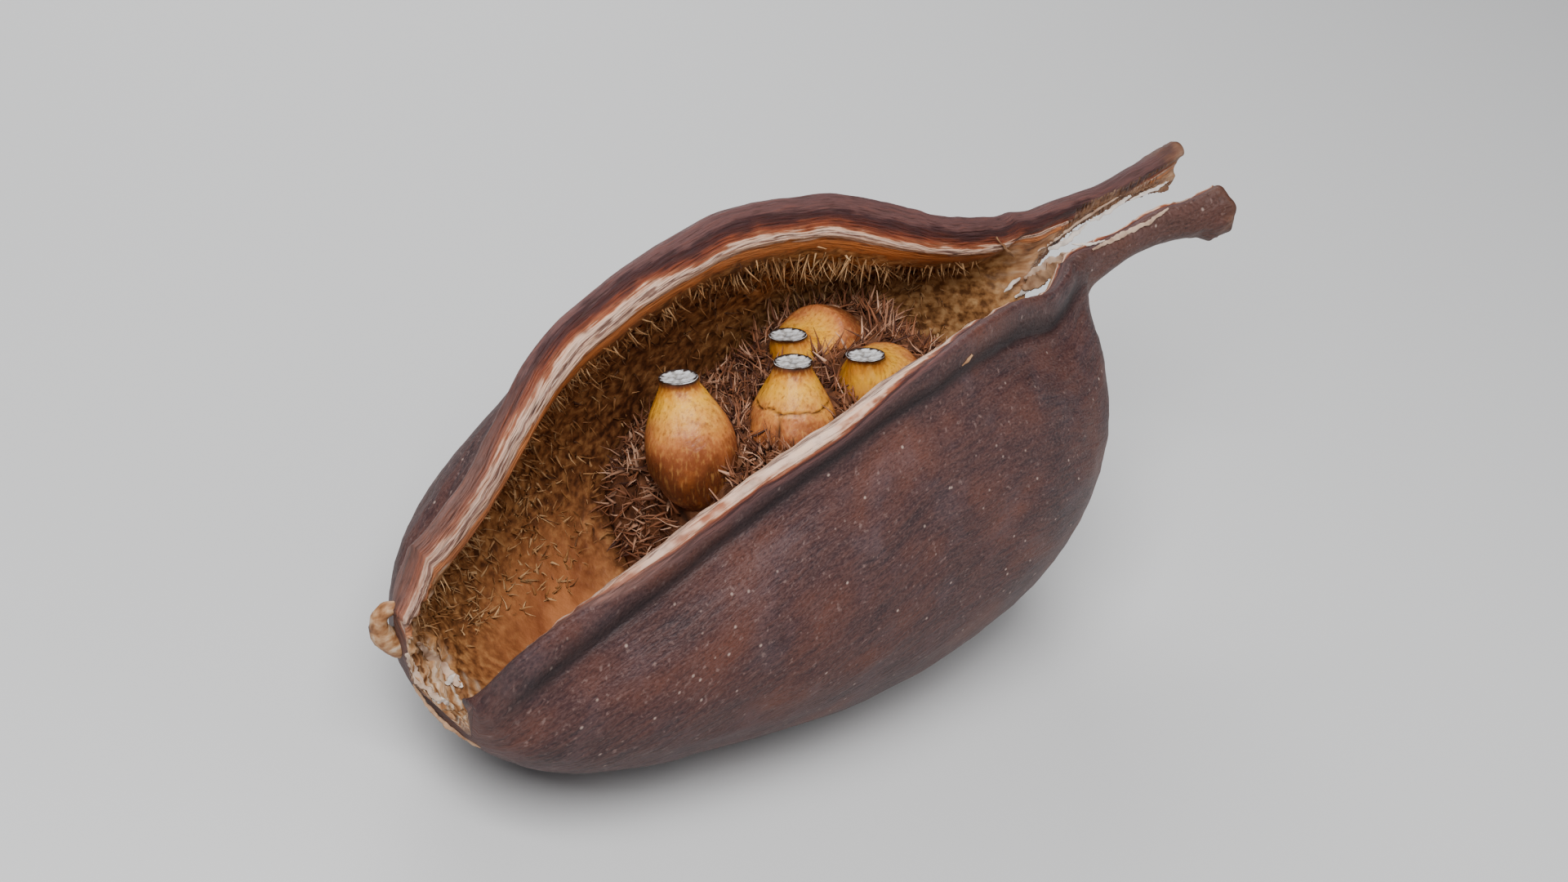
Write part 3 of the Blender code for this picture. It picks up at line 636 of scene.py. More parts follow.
class HuskFinish(Finish):
    """The pod's wall: purple-brown skin, banded rim, felted hollow and torn fibres."""

    def __init__(self) -> None:
        """Builds the four looks, joins them by what the mesh carries, and paints shade into the crease under
        each lip.
        """
        super().__init__("dry_husk", 0.55)
        self.grain, self.band = self.vector("grain"), self.number("band")
        self.along = self.node("SeparateXYZ", {"Vector": self.grain}).outputs["X"]
        ragged = self.maths("ADD", self.band, self.span(self.noise(1.2, self.grain), 0.3, 0.7, -0.5, 0.5))
        colour, height = self.skin()
        for share, (over, over_height) in (
            (self.span(self.band, -3.2, -2.0), self.rim()),
            (self.span(ragged, 1.9, 2.6), self.felt()),
            (self.number("torn"), self.torn()),
        ):
            colour, height = self.mix(share, colour, over), self.mix(share, height, over_height)
        # painted shade: the crease under each lip is darkened almost to black
        crease = self.maths("MULTIPLY", self.number("crease"), 0.85)
        self.wear(self.mix(crease, colour, (0.010, 0.005, 0.006)), height, 0.12)

    def skin(self) -> Look:
        """Dark purple-brown with rusty patches, fine pale specks and lengthwise streaks."""
        patches = self.noise(0.2, self.grain, (1, 1.6, 1), 5)
        streaks = self.noise(1.6, self.grain, (0.35, 2.2, 1), 5)
        fine = self.noise(7.0, self.grain, (0.7, 1.3, 1), 3)
        dust = self.noise(0.45, self.grain, detail=6)
        spots = self.node("TexVoronoi", {"Vector": self.grain, "Scale": 0.9}).outputs["Distance"]
        stops = ((0.32, (0.024, 0.011, 0.013)), (0.5, (0.045, 0.016, 0.016)), (0.68, (0.100, 0.030, 0.018)))
        colour = self.tint(
            self.ramp(patches, stops),
            (self.along, 22.0, 25.0, 0.6, (0.095, 0.036, 0.022)),
            (streaks, 0.38, 0.7, 0.6, (0.105, 0.040, 0.030)),
            (dust, 0.52, 0.75, 0.4, (0.090, 0.060, 0.068)),
            (fine, 0.47, 0.7, 0.5, (0.125, 0.068, 0.060)),
            (fine, 0.46, 0.28, 0.6, (0.014, 0.006, 0.008)),
            (self.noise(3.2, self.grain), 0.62, 0.74, 0.55, (0.24, 0.155, 0.135)),
            (spots, 0.1, 0.03, 1.0, (0.36, 0.26, 0.22)),
        )
        return colour, self.maths("ADD", streaks, self.maths("MULTIPLY", fine, 0.6))

    def rim(self) -> Look:
        """The lip's bands, from greyish purple to red-brown, two cream ridges and orange fibres."""
        strands = self.noise(2.2, self.grain, (0.22, 3.2, 1), 6)
        waves = self.noise(0.8, self.grain, (0.8, 1, 1), 3)
        fibres = self.noise(5.0, self.grain, (0.16, 1.6, 1), 4)
        shifted = self.maths("ADD", self.band, self.span(strands, 0.3, 0.7, -0.2, 0.2))
        shifted = self.maths("ADD", shifted, self.span(waves, 0.3, 0.7, -0.16, 0.16))
        low, high = -3.0, 4.0
        stops = (
            (-2.3, (0.085, 0.040, 0.040)), (-1.3, (0.115, 0.050, 0.046)), (-1.0, (0.036, 0.012, 0.013)),
            (-0.6, (0.062, 0.016, 0.012)), (-0.3, (0.175, 0.040, 0.016)), (-0.06, (0.30, 0.10, 0.045)),
            (0.08, (0.66, 0.40, 0.28)), (0.32, (0.72, 0.50, 0.38)), (0.43, (0.22, 0.12, 0.09)),
            (0.52, (0.20, 0.11, 0.085)), (0.64, (0.60, 0.37, 0.26)), (0.88, (0.70, 0.47, 0.34)),
            (1.02, (0.30, 0.11, 0.05)), (1.2, (0.62, 0.21, 0.060)), (1.8, (0.48, 0.15, 0.040)),
            (2.6, (0.30, 0.12, 0.040)),
        )
        shares = [((at - low) / (high - low), shade) for at, shade in stops]
        colour = self.ramp(self.span(shifted, low, high), shares)
        colour = self.tint(colour, (self.along, -9.0, -16.0, 0.4, (0.24, 0.120, 0.090)))
        colour = self.mix(self.span(fibres, 0.5, 0.75, 0.0, 0.6), colour, (0.80, 0.60, 0.45), "SOFT_LIGHT")
        colour = self.tint(colour, (fibres, 0.48, 0.25, 0.65, (0.04, 0.016, 0.010)))
        return colour, self.maths("ADD", strands, fibres)

    def felt(self) -> Look:
        """Golden to dark brown felt, darkened by painted shade in the deep, and smooth orange-brown near the
        tip.
        """
        clumps = self.noise(1900, self.place(), detail=8)
        light = ((0.36, (0.10, 0.034, 0.010)), (0.5, (0.30, 0.120, 0.036)), (0.64, (0.54, 0.26, 0.09)))
        golden = ((0.36, (0.18, 0.070, 0.022)), (0.5, (0.48, 0.230, 0.080)), (0.64, (0.72, 0.42, 0.18)))
        # the felt's colours under painted shade, used where the mesh marks the deep
        deep = ((0.36, (0.045, 0.013, 0.005)), (0.52, (0.150, 0.050, 0.016)), (0.68, (0.28, 0.12, 0.040)))
        smooth = ((0.35, (0.22, 0.064, 0.020)), (0.6, (0.42, 0.150, 0.050)))
        colour = self.ramp(clumps, light)
        for share, value, stops in (
            (self.span(self.along, 9.0, 14.0), clumps, golden),
            (self.number("depth_shade"), clumps, deep),
            (self.number("bare"), self.noise(0.35, self.grain), smooth),
        ):
            colour = self.mix(share, colour, self.ramp(value, stops))
        return colour, clumps

    def torn(self) -> Look:
        """Crumpled cream, tan and orange tissue, fibrous along the pod, darkened by painted shade where it
        lies deep.
        """
        folds = self.noise(1.1, self.grain, (0.5, 1, 1), 7)
        stops = (
            (0.32, (0.10, 0.036, 0.012)), (0.44, (0.33, 0.145, 0.055)), (0.54, (0.52, 0.30, 0.15)),
            (0.64, (0.70, 0.52, 0.36)), (0.76, (0.80, 0.72, 0.62)),
        )
        # the tissue's colours under painted shade, used where it lies deep
        dark = ((0.34, (0.040, 0.015, 0.008)), (0.5, (0.17, 0.070, 0.030)), (0.68, (0.36, 0.19, 0.095)))
        deep = self.maths("MULTIPLY", self.number("depth_shade"), 0.85)
        return self.mix(deep, self.ramp(folds, stops), self.ramp(folds, dark)), folds


class BristleFinish(Finish):
    """Hairs, each with its own tone, with painted shade that darkens them at the root."""

    def __init__(self, name: str, dark: Colour, middle: Colour, light: Colour) -> None:
        """Mixes the hair's tone.

        Args:
            name: what the finish is called.
            dark: the darkest tone, which is also the painted shade at the roots.
            middle: the colour of most hairs.
            light: the colour of the palest tips.
        """
        super().__init__(name, 0.6)
        tone, rise = self.number("tone"), self.number("rise")
        colour = self.ramp(tone, ((0.0, dark), (0.5, middle), (1.0, light)))
        # painted shade: each hair darkens towards its root, where the other hairs shade it
        self.wear(self.tint(colour, (rise, 0.5, 0.0, 0.75, dark)), self.noise(900, self.place()), 0.02)


class BedFinish(Finish):
    """The tangle under the bed's bristles, dark with painted shade."""

    def __init__(self) -> None:
        """Mixes red-brown clumps, darker than the bristles as painted shade beneath them."""
        super().__init__("bristle_tangle", 0.8)
        clumps = self.noise(1100, self.place(), detail=6)
        stops = ((0.3, (0.03, 0.011, 0.005)), (0.5, (0.12, 0.042, 0.016)), (0.7, (0.24, 0.10, 0.045)))
        self.wear(self.ramp(clumps, stops), clumps, 0.25)


class SeedFinish(Finish):
    """A seed's coat: yellow by the neck, brown below, with a white scar disc in a dark ring."""

    def __init__(self, name: str) -> None:
        """Mixes the coat, the collar and the scar.

        Args:
            name: what the finish is called.
        """
        super().__init__(name, 0.42)
        where, share, disc = self.vector("coat"), self.number("share"), self.number("disc")
        blotches = self.noise(0.5, where, detail=5)
        veins = self.noise(1.6, where, (1.6, 1.6, 0.5), 6)
        fibres = self.noise(2.4, where, (2.2, 2.2, 0.4), 8)
        smudge = self.noise(2.4, where, (1, 1.8, 1), 6)
        shift = self.span(blotches, 0.3, 0.7, -0.1, 0.1)
        shift = self.maths("MULTIPLY", shift, self.span(share, 0.95, 0.7, 0.15, 1.0))
        wander = self.maths("ADD", share, shift)
        stops = (
            (0.26, (0.12, 0.032, 0.011)), (0.42, (0.28, 0.078, 0.026)), (0.56, (0.54, 0.180, 0.050)),
            (0.68, (0.76, 0.32, 0.045)), (0.8, (0.90, 0.43, 0.018)), (0.88, (0.72, 0.28, 0.014)),
            (0.925, (0.36, 0.12, 0.020)), (0.955, (0.16, 0.045, 0.015)),
        )
        pale = self.maths("MULTIPLY", self.span(veins, 0.5, 0.72, 0.0, 0.5), self.span(share, 0.45, 0.7))
        coat = self.tint(
            self.mix(pale, self.ramp(wander, stops), (0.92, 0.49, 0.080)),
            (veins, 0.46, 0.26, 0.6, (0.28, 0.085, 0.020)),
            # painted shade: deep orange blotches, placed by noise, stand in for the darker, redder sides of
            # the seeds
            (blotches, 0.55, 0.75, 0.5, (0.62, 0.20, 0.035)),
            (fibres, 0.52, 0.72, 0.3, (0.90, 0.46, 0.12)),
            (fibres, 0.47, 0.30, 0.6, (0.22, 0.058, 0.014)),
            (wander, 0.955, 0.985, 1.0, (0.035, 0.014, 0.009)),
        )
        stops = ((0.3, (0.26, 0.24, 0.22)), (0.43, (0.52, 0.50, 0.48)), (0.56, (0.80, 0.80, 0.82)))
        edge = self.maths("ADD", disc, self.span(smudge, 0.3, 0.7, 0.1, -0.1))
        ring, core = self.span(edge, 0.78, 0.92), self.span(disc, 0.30, 0.12, 0.0, 0.85)
        dark = self.maths("MAXIMUM", ring, core)
        scar = self.mix(dark, self.ramp(smudge, stops), (0.030, 0.016, 0.012))
        colour = self.mix(self.span(disc, 0.0, 0.02), coat, scar)
        colour = self.mix(self.number("crack"), colour, (0.05, 0.02, 0.01))
        self.wear(colour, self.maths("ADD", veins, smudge), 0.05)


@dataclass(frozen=True)
class Lip:
    """How a valve's lip is rolled and banded, in millimetres of wall from its outer edge."""

    cream_from: tuple  # x, and where the cream starts: negative is on the skin's side
    cream_to: tuple
    crease_at: float
    crease_depth: float
    crease_width: float
    band_stretch: float  # how much narrower the dark and red bands are than the far valve's
    felt_from: float  # the felt starts this far inside the cream


LIPS = {
    Side.NEAR: Lip(
        cream_from=(
            (-21, 2.1), (-18, 1.0), (-14, 0.0), (-8, -0.2), (-3, -0.15), (3, 0.15), (9, 0.7), (37, 0.85),
        ),
        cream_to=(
            (-21, 2.15), (-18, 1.5), (-14, 1.4), (-8, 1.8), (-3, 1.9), (3, 1.8), (9, 1.25), (37, 1.15),
        ),
        crease_at=1.15, crease_depth=0.55, crease_width=0.38, band_stretch=6.0, felt_from=0.05,
    ),
    Side.FAR: Lip(
        cream_from=(
            (-21, 1.0), (-14, 1.0), (-8, 1.2), (-2, 1.6), (4, 1.95), (20, 1.9), (25, 2.0), (37, 2.2),
        ),
        cream_to=(
            (-21, 1.8), (-14, 2.0), (-8, 2.4), (-2, 2.7), (4, 2.6), (20, 2.4), (25, 2.3), (37, 2.4),
        ),
        crease_at=2.3, crease_depth=0.6, crease_width=0.5, band_stretch=1.0, felt_from=1.5,
    ),
}


@dataclass
class Shell:
    """The woody wall: skin, lip, banded rim, hollow and split stalk."""

    rim_steps: int = 34
    rim_fine: float = 4.3
    skin_even: int = 44
    hollow_even: int = 36
    crest_points: int = 13
    crest_rise: float = 0.45
    lip_swell: float = 0.42
    # x, half width of the slot at its top and at its bottom
    split: tuple = (
        (22.6, 0.1, 0.2), (23.2, 0.5, 0.9), (23.8, 0.5, 0.9), (25.0, 0.85, 1.9), (27.2, 0.9, 2.7),
        (29.6, 1.15, 3.2), (32.6, 1.1, 3.2), (39.0, 1.3, 3.4),
    )
    split_top: float = 2.4
    split_bottom: float = -6.0
    cream_end: float = 1.1  # the band's number where the cream ends
    felt_step: float = 1.6  # and how much higher the number is where the felt starts
    band_range: tuple = (-3.4, 3.6)
    inside_from: float = 1.5  # from this number on, a point is in the hollow
    split_stagger: float = 0.45
    split_jag: float = 0.07
    split_rows: int = 170
    split_deep: int = 17
    split_seed: int = 5
    # by the stalk the far lip turns out across the pod only, or it would fold
    far_lip_across: float = 0.85
    far_lip_span: tuple = (15.0, 20.0)
    tip_crumple: tuple = (-18.5, -20.5)
    tip_tear: tuple = (-18.9, -19.9)
    end_tear: tuple = (35.2, 36.6)
    stalk_tear: tuple = (22.5, 25.0)

    def stations(self) -> Array:
        """Places of the sections, closer together at both ends."""
        spans = ((FORM.tip_x, -19.0, 24), (-19.0, 18.0, 112), (18.0, 27.0, 36), (27.0, FORM.end_x, 40))
        parts = [np.linspace(a, b, n, endpoint=False) for a, b, n in spans]
        return np.concatenate([*parts, [FORM.end_x]])

    def relief(self, side: Side, points: Array, x: Array, distance: Array) -> Array:
        """The skin's lip, crease, dents and wrinkles, measured outwards."""
        boat, form = FORM.boat_share(x), LIPS[side]
        lip = self.lip_swell * bump(distance, 0.35, 0.8)
        deep = form.crease_depth * (0.8 + 0.4 * rough(points, 5.0, 7))
        under = 0.3 * bump(distance, form.crease_at + 0.9, 1.1)
        creased = deep * self.crease(side, x, distance) + under
        wrinkles = 0.10 * rough(points, (5.0, 1.5, 1.5), 9, 2)
        wrinkles = wrinkles + 0.035 * rough(points, (1.4, 0.5, 0.5), 12, 2)
        folds = np.maximum(rough(points, (7.0, 2.2, 2.2), 15), 0) ** 2 * 0.45 * bump(distance, 4.5, 3.0)
        knobs = 0.5 * ramp(x, FORM.end_x - 3.0, FORM.end_x) * rough(points, 1.4, 27, 3)
        return (lip - creased) * boat + FORM.dents(points) + wrinkles - folds * boat + knobs

    def crease(self, side: Side, x: Array, distance: Array) -> Array:
        """1 along the middle of the sharp crease under a lip, where it is cut in and where its shade is
        painted.
        """
        wander = 0.16 * rough(np.stack([x, distance * 0, x * 0], -1), 6.0, 4)
        return bump(distance, LIPS[side].crease_at + wander, LIPS[side].crease_width) * FORM.boat_share(x)

    def lining(self, points: Array, x: Array, distance: Array) -> Array:
        """The lumps of the felted hollow, measured into the wall."""
        ease = ramp(distance, 0.6, 2.2)
        crumple = 0.8 * ramp(x, *self.tip_crumple) * np.abs(rough(points, 1.1, 23, 3))
        return (0.14 * rough(points, 1.6, 18, 3)) * ease - crumple

    def flatten(self, points: Array) -> Array:
        """The points with the belly pressed flat on the floor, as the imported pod's is."""
        up, floor = REST.turn[2], -REST.shift[2]
        return points + np.maximum(floor - points @ up, 0)[..., None] * up

    def valve(self, side: Side, x: Array) -> dict[str, Array]:
        """One valve's rows of points, from the keel over the skin, the rim and the hollow.

        Args:
            side: the valve.
            x: the sections' places.

        Returns:
            The points and what they carry, one row for each section.
        """
        steps = np.linspace(0, self.rim_fine, self.rim_steps)
        v_out, far_out = FORM.shares_from_rim(side, x, steps, self.skin_even)
        v_in, far_in = FORM.shares_from_rim(side, x, steps, self.hollow_even)
        x_out, x_in = (np.broadcast_to(x[:, None], v.shape) for v in (v_out, v_in))
        middle = FORM.wall(side, x_out, v_out)
        out = FORM.wall_thickness(x_out) / 2 + FORM.flare(x_out, far_out)
        out = out + self.relief(side, middle, x_out, far_out)
        outward = FORM.normal(side, x_out, v_out)
        if side is Side.FAR:
            outward[..., 0] *= 1 - self.far_lip_across * ramp(x_out, *self.far_lip_span)
        skin = middle + outward * out[..., None]
        hollow = FORM.inner(side, x_in, v_in, far_in)
        hollow += FORM.normal(side, x_in, v_in) * self.lining(hollow, x_in, far_in)[..., None]
        edge = skin[:, :1] - hollow[:, :1]
        width = np.linalg.norm(edge, axis=-1)
        top = unit(FORM.wall(side, x, np.ones_like(x)) - FORM.wall(side, x, np.full_like(x, 0.97)))[:, None]
        angle = np.linspace(0, math.pi, self.crest_points + 2)[1:-1]
        centre = (skin[:, :1] + hollow[:, :1]) / 2
        crest = centre + edge / 2 * np.cos(angle)[:, None] + top * self.crest_rise * np.sin(angle)[:, None]
        across = (1 - np.cos(angle)) / 2 * width
        wobble = 0.22 * rough(np.stack([x, x * 0 + side.value, x * 0], -1), 3.0, 31, 2)[:, None]
        girth = np.concatenate([-far_out[:, ::-1], across, width + far_in], 1)
        lip = LIPS[side]
        start = Curve(lip.cream_from)(x)[:, None] + wobble
        end = Curve(lip.cream_to)(x)[:, None] + wobble
        band = (girth - start) / (end - start) * self.cream_end
        band = np.where(girth < start, (girth - start) * lip.band_stretch, band)
        felt = self.cream_end + (girth - end) * self.felt_step / lip.felt_from
        band = np.clip(np.where(girth > end, felt, band), *self.band_range)
        part = band[:, -far_in.shape[1] - len(angle) :]
        ridges = 0.16 * (bump(part, 0.2, 0.2) + bump(part, 0.78, 0.2))
        inner_part = np.concatenate([crest, hollow], 1)
        uneven = 1 + 0.8 * rough(inner_part, (1.5, 0.6, 0.6), 35)
        inner_part = inner_part + top * (ridges * uneven)[..., None]
        # where the crease's painted shade goes, on the skin's points only
        shade = self.crease(side, x_out, far_out)[:, ::-1]
        shade = np.concatenate([shade, np.zeros(inner_part.shape[:2])], 1)
        points = np.concatenate([skin[:, ::-1], inner_part], 1)
        return {"points": points, "band": band, "girth": girth * side.value, "crease": shade}

    def build(self) -> Piece:
        """Makes the wall, cuts its stalk and dresses it."""
        x = self.stations()
        near, far = self.valve(Side.NEAR, x), self.valve(Side.FAR, x)
        whole = {key: np.concatenate([far[key], near[key][:, -2:0:-1]], 1) for key in far}
        points, band = whole["points"], whole["band"]
        along, up = points[..., 0], points[..., 2]
        inside = band > self.inside_from
        at_tip = ramp(along + 1.5 * rough(points, 1.7, 44, 2), *self.tip_tear)
        at_end = ramp(along + 0.8 * rough(points, 1.2, 46), *self.end_tear) * 0.5
        at_stalk = ramp(along, *self.stalk_tear) * inside
        # painted shade in the deep: low down, in the middle of the hollow and by the stalk's hole the felt
        # and tissue darken
        depth_shade = ramp(up, 1.0, -6.0) * 0.5 + bump(along, 1, 8) * 0.6 + ramp(along, 23.5, 26.5) * 0.9
        marks = {
            "grain": np.stack([along, whole["girth"], up * 0.3], -1),
            "band": band,
            "torn": np.maximum.reduce([at_tip * inside, at_end, at_stalk]),
            "depth_shade": np.clip(depth_shade, 0, 1),
            "bare": ramp(up, -5.5, -9.0) * ramp(along, -3.5, -8.5),
            # painted shade along the crease under each lip
            "crease": whole["crease"],
        }
        mesh = Workshop.tube("pod_wall", self.flatten(points), marks)
        piece = Workshop.finish(mesh, HuskFinish(), "pod_shell", ["pod_shell"])
        self.cut(piece, tuple(marks))
        return piece

    def cut(self, piece: Piece, keys: Sequence[str]) -> None:
        """Splits the stalk between the prongs.

        Args:
            piece: the whole wall.
            keys: what its points carry, and still carry after the cut.
        """
        draw = np.random.default_rng(self.split_seed)
        places, *halves = np.array(self.split).T
        x = np.linspace(places[0], places[-1], self.split_rows)
        top, bottom = (np.interp(x, places, half)[:, None] for half in halves)
        deep = np.linspace(0, 1, self.split_deep)
        rows = []
        for side in (Side.FAR, Side.NEAR):
            half = top * (1 - deep) + bottom * deep
            jag = draw.uniform(-1, 1, half.shape) * self.split_jag
            y = FORM.middle_sway(x)[:, None] + side.value * (half + jag)
            near_x = x[:, None] + (self.split_stagger if side is Side.NEAR else 0) + 0 * y
            z = self.split_top + (self.split_bottom - self.split_top) * deep + 0 * y
            row = np.stack([near_x, y, z], -1)
            rows.append(row if side is Side.FAR else row[:, ::-1])
        cutter = bpy.data.objects.new("split", Workshop.tube("split", np.concatenate(rows, 1), {}))
        bpy.context.scene.collection.objects.link(cutter)
        before = piece.data
        step = piece.modifiers.new("split", "BOOLEAN")
        step.operation, step.solver, step.object = "DIFFERENCE", "MANIFOLD", cutter
        graph = bpy.context.evaluated_depsgraph_get()
        after = bpy.data.meshes.new_from_object(piece.evaluated_get(graph))
        piece.modifiers.clear()
        carry_over(before, after, keys)
        piece.data = after
        after.name = "pod_wall"
        bpy.data.objects.remove(cutter)


def carry_over(before: Mesh, after: Mesh, keys: Sequence[str]) -> None:
    """Gives each point of a cut mesh what the nearest point of the whole mesh carried."""
    tree = KDTree(len(before.vertices))
    for i, vertex in enumerate(before.vertices):
        tree.insert(vertex.co, i)
    tree.balance()
    found = [tree.find(vertex.co) for vertex in after.vertices]
    nearest, gaps = np.array([f[1] for f in found]), np.array([f[2] for f in found]) / MM
    for key in keys:
        layer = before.attributes[key]
        vector = layer.data_type == "FLOAT_VECTOR"
        values = np.zeros(len(before.vertices) * (3 if vector else 1), np.float32)
        layer.data.foreach_get("vector" if vector else "value", values)
        values = values.reshape(len(before.vertices), -1)[nearest]
        if key == "torn":
            values = np.maximum(values, ramp(gaps, *CUT_GAPS)[:, None])
        if key in after.attributes:
            after.attributes.remove(after.attributes[key])
        Workshop.mark(after, key, values)


@dataclass
class Bristles:
    """Many copies of one bent, flattened and tapering bristle."""

    sides: int = 3
    joints: int = 3
    flatness: float = 0.42
    taper: float = 0.88
    curls: tuple = (-0.45, -0.2, 0.25, 0.5)

    def template(self) -> tuple[Array, list[tuple[int, ...]]]:
        """A straight bristle of length 1 and root radius 1, made by raising one face step by step.

        Returns:
            Its points and its faces.
        """
        work = bmesh.new()
        bmesh.ops.create_circle(work, cap_ends=True, segments=self.sides, radius=1.0)
        top = work.faces[:][0]
        for joint in range(self.joints):
            raised = bmesh.ops.extrude_face_region(work, geom=[top])["geom"]
            top = next(face for face in raised if isinstance(face, bmesh.types.BMFace))
            share = (joint + 1) / self.joints
            for number, vert in enumerate(top.verts):
                turn, width = 2 * math.pi * number / self.sides, 1.0 - self.taper * share
                vert.co = (math.cos(turn) * width, math.sin(turn) * width, share)
        bmesh.ops.recalc_face_normals(work, faces=work.faces)
        work.verts.ensure_lookup_table()
        points = np.array([vert.co[:] for vert in work.verts])
        faces = [tuple(vert.index for vert in face.verts) for face in work.faces]
        work.free()
        return points, faces

    def plant(self, name: str, plants: dict[str, Array], seed: int) -> Mesh:
        """Copies the bristle to every root.

        Args:
            name: the mesh's name.
            plants: for each bristle its root, way, length, radius and tone, in the pod's own frame.
            seed: the seed of their turns and bends.

        Returns:
            The mesh of all the bristles.
        """
        draw = np.random.default_rng(seed)
        shape, faces = self.template()
        count, size = len(plants["root"]), len(shape)
        along = unit(plants["way"])
        side = unit(np.cross(along, draw.normal(size=(count, 3))))
        other = np.cross(along, side)
        share = shape[None, :, 2]
        bend = draw.choice(self.curls, size=count)[:, None] * share**2 * plants["length"][:, None]
        across = shape[None, :, 0] * plants["radius"][:, None] * self.flatness + bend
        wide = shape[None, :, 1] * plants["radius"][:, None]
        points = (
            plants["root"][:, None]
            + side[:, None] * across[..., None]
            + other[:, None] * wide[..., None]
            + along[:, None] * (share * plants["length"][:, None])[..., None]
        )
        mesh = bpy.data.meshes.new(name)
        offsets = range(0, count * size, size)
        all_faces = [tuple(corner + offset for corner in face) for offset in offsets for face in faces]
        mesh.from_pydata(REST.place(points.reshape(-1, 3)).tolist(), [], all_faces)
        Workshop.mark(mesh, "tone", np.repeat(plants["tone"], size))
        Workshop.mark(mesh, "rise", np.broadcast_to(share, (count, size)).reshape(-1))
        return mesh


@dataclass
class Lining:
    """The hairs of the hollow's wall."""

    count: int = 13500
    seed: int = 21
    shares: tuple = ((Side.FAR, 0.68), (Side.NEAR, 0.32))
    x_span: tuple = (-21.3, 21.8)
    v_span: tuple = (0.22, 0.955)
    lowest: float = -9.5
    seed_room: float = 0.4
    # at the roots, as painted shade, of most hairs, and of the palest tips
    colours: tuple = ((0.070, 0.022, 0.007), (0.34, 0.145, 0.045), (0.66, 0.40, 0.19))

    def build(self) -> Piece:
        """Scatters hairs over both valves."""
        draw = np.random.default_rng(self.seed)
        valves = [self.hairs(side, int(self.count * share), draw) for side, share in self.shares]
        plants = {key: np.concatenate([valve[key] for valve in valves]) for key in valves[0]}
        mesh = Bristles().plant("lining_hairs", plants, self.seed)
        return Workshop.finish(mesh, BristleFinish("lining_hair", *self.colours), "bristle_bed")

    def hairs(self, side: Side, n: int, draw: np.random.Generator) -> dict[str, Array]:
        """Hairs on one valve, thick where the felt is thick and none in the bed or at a seed.

        Args:
            side: the valve.
            n: how many hairs are tried.
            draw: where the random numbers come from.

        Returns:
            What Bristles.plant wants for each hair.
        """
        x = draw.uniform(*self.x_span, n)
        v = draw.uniform(*self.v_span, n)
        normal = FORM.normal(side, x, v)
        root = FORM.inner(side, x, v, (1 - v) * 14)
        clumps = np.array([noise.noise((px / 3, pv * 5, side.value * 4.0)) for px, pv in zip(x, v)])
        density = 0.5 + 0.5 * clumps
        thick = np.clip(bump(x, -13, 8) + bump(x, 15, 6) + bump(v, 0.9, 0.10) * 0.7 + 0.12, 0, 1)
        above = root[:, 2] > FORM.bed_top(x) + np.where(x < FORM.bed_start, -4.0, 0.4)
        keep = (draw.uniform(0, 1, n) < density * 1.3 * thick) & above & (root[:, 2] > self.lowest)
        keep &= seed_gap(root) > self.seed_room
        x, v, normal, root = x[keep], v[keep], normal[keep], root[keep]
        m = len(x)
        lean = draw.normal(0, 0.9, (m, 3)) + np.array((-0.25, 0, -0.2))
        hanging = bump(x, 12, 5) * bump(v, 0.93, 0.06) * (side is Side.FAR)
        golden = bump(x, -15, 9) * 0.30 + bump(x, 17, 6) * 0.25 + bump(v, 0.9, 0.1) * 0.2 + hanging * 0.3
        return {
            "root": root + normal * 0.15,
            "way": -normal + lean + hanging[:, None] * np.array((0, 0, -1.2)),
            "length": draw.uniform(0.5, 1.25, m) * (1 + 0.9 * hanging),
            "radius": draw.uniform(0.07, 0.17, m),
            "tone": np.clip(draw.normal(0.36, 0.22, m) + golden, 0, 1),
        }


